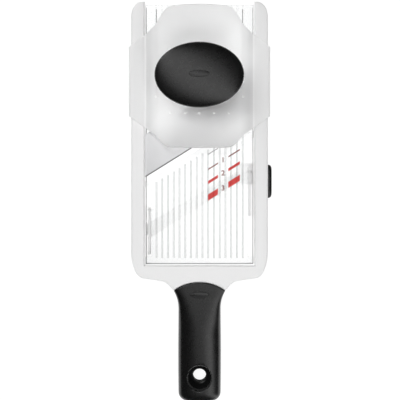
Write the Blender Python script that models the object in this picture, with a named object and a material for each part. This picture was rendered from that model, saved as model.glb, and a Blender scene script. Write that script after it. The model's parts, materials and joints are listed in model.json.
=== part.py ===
"""Handheld mandoline slicer: a U-shaped white frame with a soft grip, a clear bed, a slanted steel
blade, a clear ramp that a sliding side knob raises, and a saddle-shaped food holder on the rails.

+Y points away from the handle, +X to the right, +Z up. The slicer lies on its feet at z = 0.
"""

import math

import bmesh
import bpy
from mathutils import Matrix, Vector

MM = 0.001

# Driving dimensions
HALF_LENGTH = 195.0 * MM
FRAME_HALF_WIDTH = 66.6 * MM
OPENING_HALF_WIDTH = 53.3 * MM
OPENING_END_Y = -61.5 * MM
FRAME_BOTTOM = 1.2 * MM
RAIL_TOP = 24.0 * MM
WALL = 2.2 * MM
GAP = 0.3 * MM
EDGE_ROUND = 2.2 * MM
FAR_ROUND = 14.5 * MM

BLADE_SLOPE = math.tan(math.radians(32.0))
BLADE_EDGE_Y = 57.8 * MM
BLADE_SPAN_Y = 42.0 * MM
BLADE_TOP = 15.2 * MM
BLADE_THICK = 0.9 * MM
BLADE_END_X = 62.5 * MM
CLAMP_X = 59.8 * MM

RIB_PITCH = 5.74 * MM
RIB_COUNT = 16
RIB_TOP_WIDTH = 0.7 * MM
RIB_DRAFT = 0.5
BED_BOTTOM = 12.4 * MM
BED_PLATE_TOP = 14.0 * MM
BED_HALF_WIDTH = 54.6 * MM
BED_LEDGE_Y = 14.0 * MM

SETTING_PITCH = 13.57 * MM
SETTING_COUNT = 3
SLIDE_TRAVEL = SETTING_COUNT * SETTING_PITCH
RAMP_LIFT = 6.35 * MM
CAM_RATIO = RAMP_LIFT / SLIDE_TRAVEL

RAMP_HALF_WIDTH = 48.0 * MM
RAMP_BOTTOM = 6.3 * MM
RAMP_PLATE_TOP = 7.9 * MM
RAMP_RIB_TOP = 8.7 * MM
RAMP_TO_BLADE_Y = 5.0 * MM
RAMP_EAR_X = 54.4 * MM
CAM_Z = (RAMP_BOTTOM + RAMP_PLATE_TOP) / 2
CAM_PIN_RADIUS = 1.0 * MM
CAM_PIN_Y = {-1: -8.0 * MM, 1: 30.0 * MM}
REAR_EAR_Y = (-60.5 * MM, -54.5 * MM)
FRONT_EAR_Y = {-1: (15.5 * MM, 20.5 * MM), 1: (64.0 * MM, 70.0 * MM)}

BAR_BOTTOM = 3.4 * MM
BAR_TOP = 5.4 * MM
BAR_CENTRE_Y = 3.1 * MM
BAR_WIDTH_Y = 16.0 * MM
FIN_INNER_X = 49.0 * MM
FIN_OUTER_X = 51.0 * MM
FIN_MARGIN = 2.15 * MM
TAB_Y = (18.0 * MM, 38.8 * MM)
TONGUE_Y = (-33.0 * MM, -22.0 * MM)

KNOB_Y = 20.4 * MM
KNOB_HALF_LENGTH = 16.5 * MM
KNOB_Z = (6.4 * MM, 18.2 * MM)
KNOB_OUTER_X = 70.9 * MM
STUB_HALF_LENGTH = 6.0 * MM
STUB_Z = (10.2 * MM, 13.8 * MM)
UPRIGHT_X = (57.0 * MM, 59.7 * MM)

GRIP_ARC_RADIUS = 43.3 * MM
GRIP_ARC_APEX_Y = -78.3 * MM
GRIP_HALF_WIDTH = 20.7 * MM
GRIP_CORNER = 8.0 * MM
GRIP_Z = (1.2 * MM, 24.2 * MM)
TANG_HALF_WIDTH = 12.0 * MM
TANG_END_Y = -152.0 * MM
TANG_Z = (7.0 * MM, 18.0 * MM)
HANG_HOLE_Y = -171.0 * MM
HANG_HOLE_RADIUS = 6.6 * MM
HANG_LEDGE_RADIUS = 8.2 * MM
HANG_FUNNEL_RADIUS = 12.4 * MM
HANG_FUNNEL_DEPTH = 9.0 * MM
HANG_WAIST_LOW = 6.8 * MM
NECK_CENTRE = (42.0 * MM, -104.0 * MM)
NECK_RADII = (21.3 * MM, 28.0 * MM)

HOLDER_Y = 116.7 * MM
HOLDER_THICK = 1.8 * MM
WING_TOP = 26.3 * MM
WING_OUTER_X = 68.6 * MM
SKIRT_BOTTOM = 19.0 * MM
SADDLE_LOW = 21.2 * MM
SADDLE_CURVE = 7.1 / 1000 / MM
SADDLE_POWER = 3.1
PIN_TIP_Z = 16.8 * MM
PIN_PITCH_X = 14.1 * MM
PIN_ROWS_Y = (-31.0 * MM, -14.5 * MM, 0.0, 14.5 * MM, 31.0 * MM)

PALM_RADII = (41.0 * MM, 30.0 * MM)
PALM_TOP = 62.0 * MM
PALM_BOTTOM = 50.0 * MM
STEM_BOTTOM = 23.7 * MM
STEM_SCREW_X = 9.0 * MM

COVER_SCREWS = ((60.0 * MM, 150.0 * MM), (60.0 * MM, -35.0 * MM), (32.0 * MM, -68.0 * MM))
FOOT_RADIUS = 4.6 * MM
FOOT_PLACES = ((60.0 * MM, 176.0 * MM), (60.0 * MM, -46.0 * MM))
SIDES = {"left": -1, "right": 1}


def clear_scene():
    for old in list(bpy.data.objects):
        bpy.data.objects.remove(old, do_unlink=True)


def material(name, colour, roughness, metallic=0.0, transmission=0.0):
    made = bpy.data.materials.new(name)
    made.use_nodes = True
    shader = made.node_tree.nodes["Principled BSDF"]
    shader.inputs["Base Color"].default_value = (*colour, 1.0)
    shader.inputs["Roughness"].default_value = roughness
    shader.inputs["Metallic"].default_value = metallic
    shader.inputs["Transmission Weight"].default_value = transmission
    return made


# ---------------------------------------------------------------- mesh helpers


def place(name, shape, finish, parent=None):
    """Turns a bmesh into a named object, shaded smooth with its sharp edges kept."""
    mesh = bpy.data.meshes.new(name)
    if all(edge.is_manifold for edge in shape.edges):
        bmesh.ops.recalc_face_normals(shape, faces=shape.faces)
    shape.to_mesh(mesh)
    shape.free()
    mesh.shade_smooth()
    mesh.set_sharp_from_angle(angle=math.radians(32))
    made = bpy.data.objects.new(name, mesh)
    bpy.context.scene.collection.objects.link(made)
    if finish is not None:
        mesh.materials.append(finish)
    if parent is not None:
        made.parent = parent
        made.matrix_parent_inverse = Matrix.Translation(-parent.location)
    return made


def alter(target, shape, operation, label):
    """Adds a Boolean whose tool is a hidden helper object."""
    tool = place(f"{target.name}_{label}", shape, None)
    tool.hide_render = True
    tool.display_type = "WIRE"
    step = target.modifiers.new(label, "BOOLEAN")
    step.operation = operation
    step.solver = "EXACT"
    step.object = tool


def cut(target, shape, label):
    alter(target, shape, "DIFFERENCE", label)


def add(target, shape, label):
    alter(target, shape, "UNION", label)


def prism(outline, low, high):
    """A solid from a closed plan outline, between two heights."""
    shape = bmesh.new()
    ring = [shape.verts.new((x, y, low)) for x, y in outline]
    face = shape.faces.new(ring)
    grown = bmesh.ops.extrude_face_region(shape, geom=[face])["geom"]
    raised = [item for item in grown if isinstance(item, bmesh.types.BMVert)]
    bmesh.ops.translate(shape, verts=raised, vec=(0, 0, high - low))
    bmesh.ops.recalc_face_normals(shape, faces=shape.faces)
    return shape


def box(x, y, z):
    return prism([(x[0], y[0]), (x[1], y[0]), (x[1], y[1]), (x[0], y[1])], *z)


def round_rim(shape, height, width, segments=3):
    """Rounds the edges that lie flat at one height."""
    rim = [
        edge
        for edge in shape.edges
        if all(abs(vert.co.z - height) < 1e-6 for vert in edge.verts)
    ]
    bmesh.ops.bevel(
        shape, geom=rim, offset=width, offset_type="OFFSET", segments=segments, profile=0.5, affect="EDGES"
    )
    return shape


def turned(profile, centre, segments=20, radii=(1.0, 1.0)):
    """A solid turned about a vertical axis; the profile runs from its top centre to its bottom centre."""
    shape = bmesh.new()
    rings = []
    for radius, height in profile:
        if radius == 0:
            rings.append([shape.verts.new((centre[0], centre[1], height))])
            continue
        turns = [2 * math.pi * step / segments for step in range(segments)]
        rings.append(
            [
                shape.verts.new(
                    (
                        centre[0] + radius * radii[0] * math.cos(turn),
                        centre[1] + radius * radii[1] * math.sin(turn),
                        height,
                    )
                )
                for turn in turns
            ]
        )
    for upper, lower in zip(rings, rings[1:]):
        for step in range(segments):
            following = (step + 1) % segments
            if len(upper) == 1:
                shape.faces.new((upper[0], lower[step], lower[following]))
            elif len(lower) == 1:
                shape.faces.new((upper[step], lower[0], upper[following]))
            else:
                shape.faces.new((upper[step], lower[step], lower[following], upper[following]))
    return shape


def drum(radius, low, high, centre, segments=20):
    return turned([(0, high), (radius, high), (radius, low), (0, low)], centre, segments)


def turn_to(shape, axis, origin):
    """Turns a shape made along +Z so that it runs along axis from origin."""
    spin = Vector((0, 0, 1)).rotation_difference(Vector(axis)).to_matrix().to_4x4()
    bmesh.ops.transform(shape, matrix=Matrix.Translation(origin) @ spin, verts=shape.verts)
    return shape


def curve_points(centre, radii, start, end, steps, power=2.0):
    """Points on a (super)ellipse from one angle to another, in degrees."""
    points = []
    for step in range(steps + 1):
        turn = math.radians(start + (end - start) * step / steps)
        across, along = math.cos(turn), math.sin(turn)
        points.append(
            (
                centre[0] + radii[0] * math.copysign(abs(across) ** (2 / power), across),
                centre[1] + radii[1] * math.copysign(abs(along) ** (2 / power), along),
            )
        )
    return points


def mirrored(points):
    return [(-x, y) for x, y in reversed(points)]


def slanted(centre_y, x):
    """Y of a line parallel to the blade that crosses x = 0 at centre_y."""
    return centre_y + BLADE_SLOPE * x


# ---------------------------------------------------------------- frame


def neck_half_width(y):
    """Half the width of the neck and the top of the grip, which pinches in along an ellipse."""
    centre_x, centre_y = NECK_CENTRE
    rise = max(0.0, (y - centre_y) / NECK_RADII[1])
    return centre_x - NECK_RADII[0] * math.sqrt(max(0.0, 1.0 - rise**2))


def grip_arc(radius, half_width, steps=12):
    """The curved joint between frame and grip, from left to right."""
    centre_y = GRIP_ARC_APEX_Y - GRIP_ARC_RADIUS
    reach = math.asin(half_width / radius)
    turns = [-reach + 2 * reach * step / steps for step in range(steps + 1)]
    return [(radius * math.sin(turn), centre_y + radius * math.cos(turn)) for turn in turns]


def right_outline():
    """The frame's right half from the far end to the neck, seen from above."""
    flat = 2.8 * MM
    across = FRAME_HALF_WIDTH - OPENING_HALF_WIDTH - flat
    far_centre = (OPENING_HALF_WIDTH + flat, HALF_LENGTH - FAR_ROUND)
    far_corner = [(OPENING_HALF_WIDTH, HALF_LENGTH)]
    far_corner += curve_points(far_centre, (across, FAR_ROUND), 90, 0, 8)
    near_corner = curve_points((FRAME_HALF_WIDTH - 12 * MM, -48 * MM), (12 * MM, 26.4 * MM), 0, -90, 8)
    neck = [(43.0 * MM, -76.0 * MM)]
    for drop in (1.4, 2.8, 5.0, 9.2):
        y = -76.0 * MM - drop * MM
        neck.append((neck_half_width(y), y))
    return [(OPENING_HALF_WIDTH, OPENING_END_Y)] + far_corner + near_corner + neck


def frame_outline():
    right = right_outline()
    arc = grip_arc(GRIP_ARC_RADIUS + GAP, 24.6 * MM)
    return right + list(reversed(arc)) + mirrored(right)


def wall_cuts(frame):
    """Slots and grooves through the rail walls for everything that the rails hold or guide."""
    inner, outer = OPENING_HALF_WIDTH, FRAME_HALF_WIDTH
    bar_z = (BAR_BOTTOM - GAP, BAR_TOP + GAP)
    cut(frame, box((-inner - 1.9 * MM, -inner + 1 * MM), travel(TONGUE_Y), bar_z), "tongue_slot")
    cut(frame, box((inner - 1 * MM, inner + 3 * MM), travel(TAB_Y), bar_z), "tab_slot")
    stub_y = (KNOB_Y - STUB_HALF_LENGTH, KNOB_Y + STUB_HALF_LENGTH)
    stub_z = (STUB_Z[0] - GAP, STUB_Z[1] + GAP)
    cut(frame, box((outer - 4 * MM, outer + 1 * MM), travel(stub_y), stub_z), "knob_slot")
    for name, side in SIDES.items():
        groove_x = sorted((side * (inner - 1 * MM), side * (inner + 1.5 * MM)))
        groove_z = (RAMP_BOTTOM - GAP, RAMP_PLATE_TOP + RAMP_LIFT + GAP)
        for place_name, ear in (("rear", REAR_EAR_Y), ("front", FRONT_EAR_Y[side])):
            cut(frame, box(groove_x, (ear[0] - GAP, ear[1] + GAP), groove_z), f"{place_name}_groove_{name}")
        ledge_start = slanted(BLADE_EDGE_Y + BLADE_SPAN_Y - BED_LEDGE_Y, side * inner) - 1.5 * MM
        bed_z = (BED_BOTTOM - GAP, BED_PLATE_TOP + GAP)
        cut(frame, box(groove_x, (ledge_start, HALF_LENGTH + 1 * MM), bed_z), f"bed_groove_{name}")
        near, far = side * (inner - 1 * MM), side * (BLADE_END_X + 0.5 * MM)
        slot = [
            (near, slanted(BLADE_EDGE_Y, near) - 0.4 * MM),
            (far, slanted(BLADE_EDGE_Y, far) - 0.4 * MM),
            (far, slanted(BLADE_EDGE_Y + BLADE_SPAN_Y, far) + 0.4 * MM),
            (near, slanted(BLADE_EDGE_Y + BLADE_SPAN_Y, near) + 0.4 * MM),
        ]
        cut(frame, prism(slot, BLADE_TOP - BLADE_THICK - GAP, BLADE_TOP + GAP), f"blade_slot_{name}")


def travel(span):
    """The stretch that a piece sweeps as the setting slide moves, with its clearance."""
    return (span[0] - 0.5 * MM, span[1] + SLIDE_TRAVEL + 0.5 * MM)


def base_outline(inset):
    """The U-shaped mouth under the frame, which the base cover closes."""
    outer = FRAME_HALF_WIDTH - 1.3 * MM - inset
    inner = OPENING_HALF_WIDTH + 1.3 * MM + inset
    far, near, floor = 189 * MM - inset, -50 * MM, -73 * MM + inset
    right = [
        (inner, OPENING_END_Y - 1.3 * MM - inset),
        (inner, far),
        (outer - 5 * MM, far),
        (outer, far - 9 * MM),
        (outer, near),
        (outer - 5 * MM, near - 15 * MM),
        (outer - 13 * MM, floor),
    ]
    return right + mirrored(right)


def hollow_frame(frame):
    """Channels in the rails and the crossbar, open below, with bosses for the screws."""
    inner, outer = OPENING_HALF_WIDTH + WALL, FRAME_HALF_WIDTH - WALL
    roof = RAIL_TOP - WALL
    under = FRAME_BOTTOM - 1 * MM
    for name, side in SIDES.items():
        channel = sorted((side * inner, side * outer))
        cut(frame, box(channel, (-50 * MM, 184 * MM), (under, roof)), f"channel_{name}")
    crossbar = box((-48 * MM, 48 * MM), (-72 * MM, OPENING_END_Y - WALL), (under, roof))
    cut(frame, crossbar, "crossbar_channel")
    cut(frame, prism(base_outline(0.0), under, FRAME_BOTTOM + 1.9 * MM), "cover_recess")
    for name, side in SIDES.items():
        for number, (x, y) in enumerate(COVER_SCREWS):
            boss = drum(3.2 * MM, FRAME_BOTTOM + 2.2 * MM, roof + 0.5 * MM, (side * x, y), 16)
            add(frame, boss, f"boss_{name}_{number}")
            hole = drum(1.5 * MM, under, 14 * MM, (side * x, y), 12)
            cut(frame, hole, f"boss_hole_{name}_{number}")
        seat_y = clamp_y(side)
        seat_x = sorted((side * (inner - 0.5 * MM), side * (outer + 0.5 * MM)))
        seat_z = (BLADE_TOP + GAP, roof + 0.5 * MM)
        add(frame, box(seat_x, (seat_y - 7 * MM, seat_y + 7 * MM), seat_z), f"blade_seat_{name}")
        hole = drum(1.5 * MM, BLADE_TOP - 1 * MM, 20.5 * MM, (side * CLAMP_X, seat_y), 12)
        cut(frame, hole, f"seat_hole_{name}")


def clamp_y(side):
    return slanted(BLADE_EDGE_Y + BLADE_SPAN_Y / 2, side * CLAMP_X)


def detent_notches(frame):
    """Four shallow grooves in the right rail, one for each setting."""
    mouth_x = FRAME_HALF_WIDTH - WALL - 0.2 * MM
    middle = (TAB_Y[1] + KNOB_Y - STUB_HALF_LENGTH) / 2
    for number in range(SETTING_COUNT + 1):
        y = middle + number * SETTING_PITCH
        notch = [(mouth_x, y - 1.6 * MM), (mouth_x + 1.1 * MM, y), (mouth_x, y + 1.6 * MM)]
        cut(frame, prism(notch, 4.6 * MM, 9.4 * MM), f"detent_notch_{number}")


def make_frame(finish):
    shape = prism(frame_outline(), FRAME_BOTTOM, RAIL_TOP)
    round_rim(shape, RAIL_TOP, EDGE_ROUND, 4)
    frame = place("frame", shape, finish)
    hollow_frame(frame)
    wall_cuts(frame)
    detent_notches(frame)
    tang_y = (TANG_END_Y, GRIP_ARC_APEX_Y + 2 * MM)
    add(frame, box((-TANG_HALF_WIDTH, TANG_HALF_WIDTH), tang_y, TANG_Z), "tang")


def screw(name, finish, centre, head_low, head_high, head_radius, tip, radius=1.2 * MM):
    """A pan-head screw pointing up, with a cross recess in its head."""
    profile = [
        (0, tip),
        (radius, tip - 1.2 * MM),
        (radius, head_high),
        (head_radius, head_high),
        (head_radius - 0.2 * MM, head_low),
        (0, head_low),
    ]
    made = place(name, turned(profile, centre, 12), finish)
    arm, depth = head_radius * 0.6, 0.7 * MM
    for label, (x, y) in (("slot_x", (arm, 0.35 * MM)), ("slot_y", (0.35 * MM, arm))):
        groove = box(
            (centre[0] - x, centre[0] + x),
            (centre[1] - y, centre[1] + y),
            (head_low - 1 * MM, head_low + depth),
        )
        cut(made, groove, label)
    return made


def make_base_cover(finish, steel):
    """The plate that closes the frame from below, its six screws and the recesses for the feet."""
    high = FRAME_BOTTOM + 1.6 * MM
    cover = place("base_cover", prism(base_outline(GAP), FRAME_BOTTOM, high), finish)
    for name, side in SIDES.items():
        for number, (x, y) in enumerate(COVER_SCREWS):
            centre = (side * x, y)
            cut(cover, drum(1.5 * MM, 0, 5 * MM, centre, 12), f"hole_{name}_{number}")
            recess = drum(2.7 * MM, 0, FRAME_BOTTOM + 1.1 * MM, centre, 16)
            cut(cover, recess, f"head_recess_{name}_{number}")
            screw(
                f"base_screw_{name}_{number + 1}",
                steel,
                centre,
                FRAME_BOTTOM,
                FRAME_BOTTOM + 0.8 * MM,
                2.4 * MM,
                12 * MM,
            )
        for number, (x, y) in enumerate(FOOT_PLACES):
            recess = drum(FOOT_RADIUS + GAP, 0, FRAME_BOTTOM + 0.8 * MM, (side * x, y))
            cut(cover, recess, f"foot_recess_{name}_{number}")


def make_feet(finish):
    for name, side in SIDES.items():
        for end, (x, y) in zip(("far", "near"), FOOT_PLACES):
            top = FRAME_BOTTOM + 0.5 * MM
            profile = [
                (0, top),
                (FOOT_RADIUS, top),
                (FOOT_RADIUS, 0.4 * MM),
                (FOOT_RADIUS - 0.4 * MM, 0),
                (0, 0),
            ]
            place(f"{end}_foot_{name}", turned(profile, (side * x, y), 20), finish)


# ---------------------------------------------------------------- grip


def grip_section(y):
    """Half-width, half-height and squareness of the grip at one place along it."""
    end = y + HALF_LENGTH
    swell = GRIP_HALF_WIDTH + 0.35 * MM * math.sin(math.pi * min(1.0, end / (90 * MM)))
    width = max(swell, neck_half_width(y)) if y > NECK_CENTRE[1] else swell
    height = (GRIP_Z[1] - GRIP_Z[0]) / 2
    if end < GRIP_CORNER:
        back = 1 - end / GRIP_CORNER
        width -= GRIP_CORNER * (1 - math.sqrt(max(0.0, 1 - back**2)))
        height -= 0.55 * GRIP_CORNER * (1 - math.sqrt(max(0.0, 1 - back**2)))
    blend = min(1.0, max(0.0, (y + 128 * MM) / (40 * MM)))
    return width, height, 2.7 + 5.3 * blend**2


def grip_stations():
    """Y of the grip's sections, close together round its end and towards the pinched neck."""
    turns = [math.radians(90 * step / 4) for step in range(5)]
    stations = [GRIP_CORNER * (1 - math.cos(turn)) for turn in turns]
    stations += [26 * MM, 46 * MM, 64 * MM]
    start, reach = 76 * MM, 45 * MM
    turns = [math.radians(10 * step) for step in range(10)]
    stations += [start + reach * math.sin(turn) for turn in turns]
    return [station - HALF_LENGTH for station in stations]


def make_grip(finish):
    """The soft grip: a loft of rounded sections over the tang, with a waisted hanging hole."""
    middle = (GRIP_Z[0] + GRIP_Z[1]) / 2
    around = 32
    shape = bmesh.new()
    rings = []
    for y in grip_stations():
        width, height, power = grip_section(y)
        ring = curve_points((0, middle), (width, height), 0, 360, around, power)[:around]
        rings.append([shape.verts.new((x, y, z)) for x, z in ring])
    for low, high in zip(rings, rings[1:]):
        for step in range(around):
            following = (step + 1) % around
            shape.faces.new((low[step], low[following], high[following], high[step]))
    shape.faces.new(rings[0])
    shape.faces.new(list(reversed(rings[-1])))
    grip = place("grip", shape, finish)
    above_arc = grip_arc(GRIP_ARC_RADIUS, 30 * MM, 16) + [(60 * MM, -60 * MM), (-60 * MM, -60 * MM)]
    cut(grip, prism(list(reversed(above_arc)), -5 * MM, 40 * MM), "arc_end")
    socket = box(
        (-TANG_HALF_WIDTH - GAP, TANG_HALF_WIDTH + GAP),
        (TANG_END_Y - GAP, -60 * MM),
        (TANG_Z[0] - GAP, TANG_Z[1] + GAP),
    )
    cut(grip, socket, "tang_socket")
    low, high = -2 * MM, 30 * MM
    profile = [
        (0, high),
        (HANG_FUNNEL_RADIUS + 0.5 * MM, high),
        (HANG_FUNNEL_RADIUS + 0.5 * MM, GRIP_Z[1] - 0.2 * MM),
        (HANG_FUNNEL_RADIUS, GRIP_Z[1] - 0.9 * MM),
        (HANG_LEDGE_RADIUS, GRIP_Z[1] - HANG_FUNNEL_DEPTH),
        (HANG_HOLE_RADIUS, GRIP_Z[1] - HANG_FUNNEL_DEPTH - 0.8 * MM),
        (HANG_HOLE_RADIUS, HANG_WAIST_LOW),
        (HANG_LEDGE_RADIUS + 1.0 * MM, GRIP_Z[0] + 1.0 * MM),
        (HANG_LEDGE_RADIUS + 1.8 * MM, GRIP_Z[0] - 0.2 * MM),
        (HANG_LEDGE_RADIUS + 1.8 * MM, low),
        (0, low),
    ]
    cut(grip, turned(profile, (0, HANG_HOLE_Y), 28), "hanging_hole")


# ---------------------------------------------------------------- bed and blade


def rib_places():
    first = -RIB_PITCH * (RIB_COUNT - 1) / 2
    return [first + number * RIB_PITCH for number in range(RIB_COUNT)]


def rib(x, y, z):
    """A rib along Y whose sides lean in towards its narrow top."""
    top = RIB_TOP_WIDTH / 2
    base = top + RIB_DRAFT * (z[1] - z[0])
    shape = bmesh.new()
    rings = []
    for end in y:
        corners = [(x - base, z[0]), (x + base, z[0]), (x + top, z[1]), (x - top, z[1])]
        rings.append([shape.verts.new((across, end, up)) for across, up in corners])
    near, far = rings
    for step in range(4):
        following = (step + 1) % 4
        shape.faces.new((near[step], near[following], far[following], far[step]))
    shape.faces.new(list(reversed(near)))
    shape.faces.new(far)
    return shape


def make_bed(finish):
    """The fixed clear bed behind the blade, with ribs along the way the food moves."""
    far = HALF_LENGTH - 0.4 * MM
    ledge = BLADE_EDGE_Y + BLADE_SPAN_Y - BED_LEDGE_Y
    back = BLADE_EDGE_Y + BLADE_SPAN_Y + GAP
    half = BED_HALF_WIDTH
    outline = [(-half, slanted(ledge, -half)), (half, slanted(ledge, half)), (half, far), (-half, far)]
    bed = place("bed", prism(outline, BED_BOTTOM, BED_PLATE_TOP), finish)
    inside = OPENING_HALF_WIDTH - GAP
    lip = [
        (-inside, slanted(back, -inside)),
        (inside, slanted(back, inside)),
        (inside, slanted(back + 3 * MM, inside)),
        (-inside, slanted(back + 3 * MM, -inside)),
    ]
    add(bed, prism(lip, BED_PLATE_TOP - 0.5 * MM, BLADE_TOP - 0.3 * MM), "lip")
    for number, x in enumerate(rib_places()):
        rib_y = (slanted(back + 1.5 * MM, x), far - 1.2 * MM)
        add(bed, rib(x, rib_y, (BED_PLATE_TOP - 0.4 * MM, BLADE_TOP)), f"rib_{number}")


def make_blade(finish):
    """The slanted blade: a steel plate whose cutting edge is ground to a bevel on its underside."""
    end = BLADE_END_X
    low, high = BLADE_TOP - BLADE_THICK, BLADE_TOP
    bevel = 5.0 * MM
    shape = bmesh.new()
    sections = []
    for x in (-end, end):
        edge = slanted(BLADE_EDGE_Y, x)
        back = slanted(BLADE_EDGE_Y + BLADE_SPAN_Y, x)
        profile = [(edge, high - 0.05 * MM), (edge, high), (back, high), (back, low), (edge + bevel, low)]
        sections.append([shape.verts.new((x, y, z)) for y, z in profile])
    count = len(sections[0])
    for step in range(count):
        following = (step + 1) % count
        near, far = sections
        shape.faces.new((near[step], near[following], far[following], far[step]))
    shape.faces.new(sections[0])
    shape.faces.new(list(reversed(sections[1])))
    blade = place("blade", shape, finish)
    for name, side in SIDES.items():
        hole = drum(1.6 * MM, low - 1 * MM, high + 1 * MM, (side * CLAMP_X, clamp_y(side)), 16)
        cut(blade, hole, f"hole_{name}")


def make_blade_clamps(finish, steel):
    """Inside each rail a block and a screw hold the end of the blade up against its seat."""
    for name, side in SIDES.items():
        centre = (side * CLAMP_X, clamp_y(side))
        high = BLADE_TOP - BLADE_THICK - GAP
        shape = box(
            (centre[0] - 3.6 * MM, centre[0] + 3.6 * MM),
            (centre[1] - 6 * MM, centre[1] + 6 * MM),
            (9.6 * MM, high),
        )
        clamp = place(f"blade_clamp_{name}", shape, finish)
        cut(clamp, drum(1.5 * MM, 5 * MM, 20 * MM, centre, 12), "hole")
        screw(f"blade_screw_{name}", steel, centre, 7.8 * MM, 9.3 * MM, 2.6 * MM, 19.8 * MM)


# ---------------------------------------------------------------- ramp and its slide


def ramp_outline():
    """The ramp's plate with four ears, which run in upright grooves in the rails."""
    half, ear = RAMP_HALF_WIDTH, RAMP_EAR_X
    diagonal = BLADE_EDGE_Y - RAMP_TO_BLADE_Y
    near = OPENING_END_Y + 0.5 * MM
    points = [(-half, near), (half, near)]
    for low, high in (REAR_EAR_Y, FRONT_EAR_Y[1]):
        points += [(half, low), (ear, low), (ear, high), (half, high)]
    points += [(half, slanted(diagonal, half)), (-half, slanted(diagonal, -half))]
    for low, high in (FRONT_EAR_Y[-1], REAR_EAR_Y):
        points += [(-half, high), (-ear, high), (-ear, low), (-half, low)]
    return points


def make_ramp(finish, lift):
    """The clear ramp in front of the blade, with ribs and a cam pin on each side."""
    ramp = place("ramp", prism(ramp_outline(), RAMP_BOTTOM, RAMP_PLATE_TOP), finish, lift)
    near = OPENING_END_Y + 5.6 * MM
    for number, x in enumerate(rib_places()):
        far = slanted(BLADE_EDGE_Y - 11 * MM, x)
        add(ramp, rib(x, (near, far), (RAMP_PLATE_TOP - 0.4 * MM, RAMP_RIB_TOP)), f"rib_{number}")
    for name, side in SIDES.items():
        length = FIN_OUTER_X + 0.8 * MM - RAMP_HALF_WIDTH + 2 * MM
        pin = drum(CAM_PIN_RADIUS * 0.98, 0, length, (0, 0), 16)
        start = (side * (RAMP_HALF_WIDTH - 2 * MM), CAM_PIN_Y[side], CAM_Z)
        add(ramp, turn_to(pin, (side, 0, 0), start), f"cam_pin_{name}")


def fin(side):
    """An upright plate along one side of the slide, whose top follows its sloping cam slot."""
    front, rear = CAM_PIN_Y[side] + 3.0 * MM, CAM_PIN_Y[side] - SLIDE_TRAVEL - 3.0 * MM
    low_top = CAM_Z + FIN_MARGIN
    profile = [
        (front, BAR_BOTTOM),
        (rear, BAR_BOTTOM),
        (rear, low_top + RAMP_LIFT),
        (rear + 3 * MM, low_top + RAMP_LIFT),
        (front, low_top),
    ]
    return upright(profile, side * FIN_INNER_X, side * FIN_OUTER_X)


def cam_slot(side):
    """The sloping slot that the ramp's cam pin runs in: a stadium shape through the fin."""
    radius = CAM_PIN_RADIUS + 0.25 * MM
    low_y, high_y = CAM_PIN_Y[side], CAM_PIN_Y[side] - SLIDE_TRAVEL
    tilt = math.degrees(math.atan(CAM_RATIO))
    front = curve_points((low_y, CAM_Z), (radius, radius), -90 - tilt, 90 - tilt, 8)
    back = curve_points((high_y, CAM_Z + RAMP_LIFT), (radius, radius), 90 - tilt, 270 - tilt, 8)
    return upright(front + back, side * (FIN_INNER_X - 1 * MM), side * (FIN_OUTER_X + 1 * MM))


def upright(profile, x_from, x_to):
    """A solid from a closed outline in the YZ plane, between two places along X."""
    shape = bmesh.new()
    near = [shape.verts.new((x_from, y, z)) for y, z in profile]
    far = [shape.verts.new((x_to, y, z)) for y, z in profile]
    for step in range(len(profile)):
        following = (step + 1) % len(profile)
        shape.faces.new((near[step], near[following], far[following], far[step]))
    shape.faces.new(near)
    shape.faces.new(list(reversed(far)))
    bmesh.ops.recalc_face_normals(shape, faces=shape.faces)
    return shape


def make_setting_slide(finish, slide):
    """The frosted slide: a slanted bar, two cam fins, and arms that reach into the rails.

    The arms are a hair thinner than the bar, and the post starts a hair above its underside, so that no
    two joined faces lie in one plane.
    """
    reach, hair = FIN_OUTER_X, 0.01 * MM
    low, high = BAR_CENTRE_Y - BAR_WIDTH_Y / 2, BAR_CENTRE_Y + BAR_WIDTH_Y / 2
    bar = [
        (-reach, slanted(low, -reach)),
        (reach, slanted(low, reach)),
        (reach, slanted(high, reach)),
        (-reach, slanted(high, -reach)),
    ]
    clipped = [(x, min(y, TAB_Y[1])) for x, y in bar]
    made = place("setting_slide", prism(clipped, BAR_BOTTOM, BAR_TOP), finish, slide)
    arm_z = (BAR_BOTTOM + hair, BAR_TOP - hair)
    add(made, box((38 * MM, UPRIGHT_X[0] + 1 * MM), TAB_Y, arm_z), "tab")
    add(made, box((-RAMP_EAR_X, -reach + 1 * MM), TONGUE_Y, arm_z), "tongue")
    post_y = (KNOB_Y - STUB_HALF_LENGTH, TAB_Y[1])
    add(made, box(UPRIGHT_X, post_y, (BAR_BOTTOM + 2 * hair, STUB_Z[1] + 1.2 * MM)), "post")
    for name, side in SIDES.items():
        add(made, fin(side), f"fin_{name}")
        cut(made, cam_slot(side), f"cam_slot_{name}")
    hole = drum(1.3 * MM, 0, 10 * MM, (0, 0), 12)
    centre_z = (STUB_Z[0] + STUB_Z[1]) / 2
    cut(made, turn_to(hole, (1, 0, 0), (UPRIGHT_X[0] - 3 * MM, KNOB_Y, centre_z)), "screw_hole")


def make_detent_spring(finish, slide):
    """A bowed steel leaf on the slide's post that clicks into the rail's notches."""
    start, end = KNOB_Y - STUB_HALF_LENGTH + 1.2 * MM, TAB_Y[1] - 1.2 * MM
    near, reach = UPRIGHT_X[1] + GAP, 4.0 * MM
    thick = 0.4 * MM
    steps = 14
    outer, inner = [], []
    for step in range(steps + 1):
        part = step / steps
        bow = near + reach * math.sin(math.pi * part) ** 2
        y = start + (end - start) * part
        outer.append((bow + thick, y))
        inner.append((bow, y))
    place("detent_spring", prism(outer + list(reversed(inner)), 5.2 * MM, 8.8 * MM), finish, slide)


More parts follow.
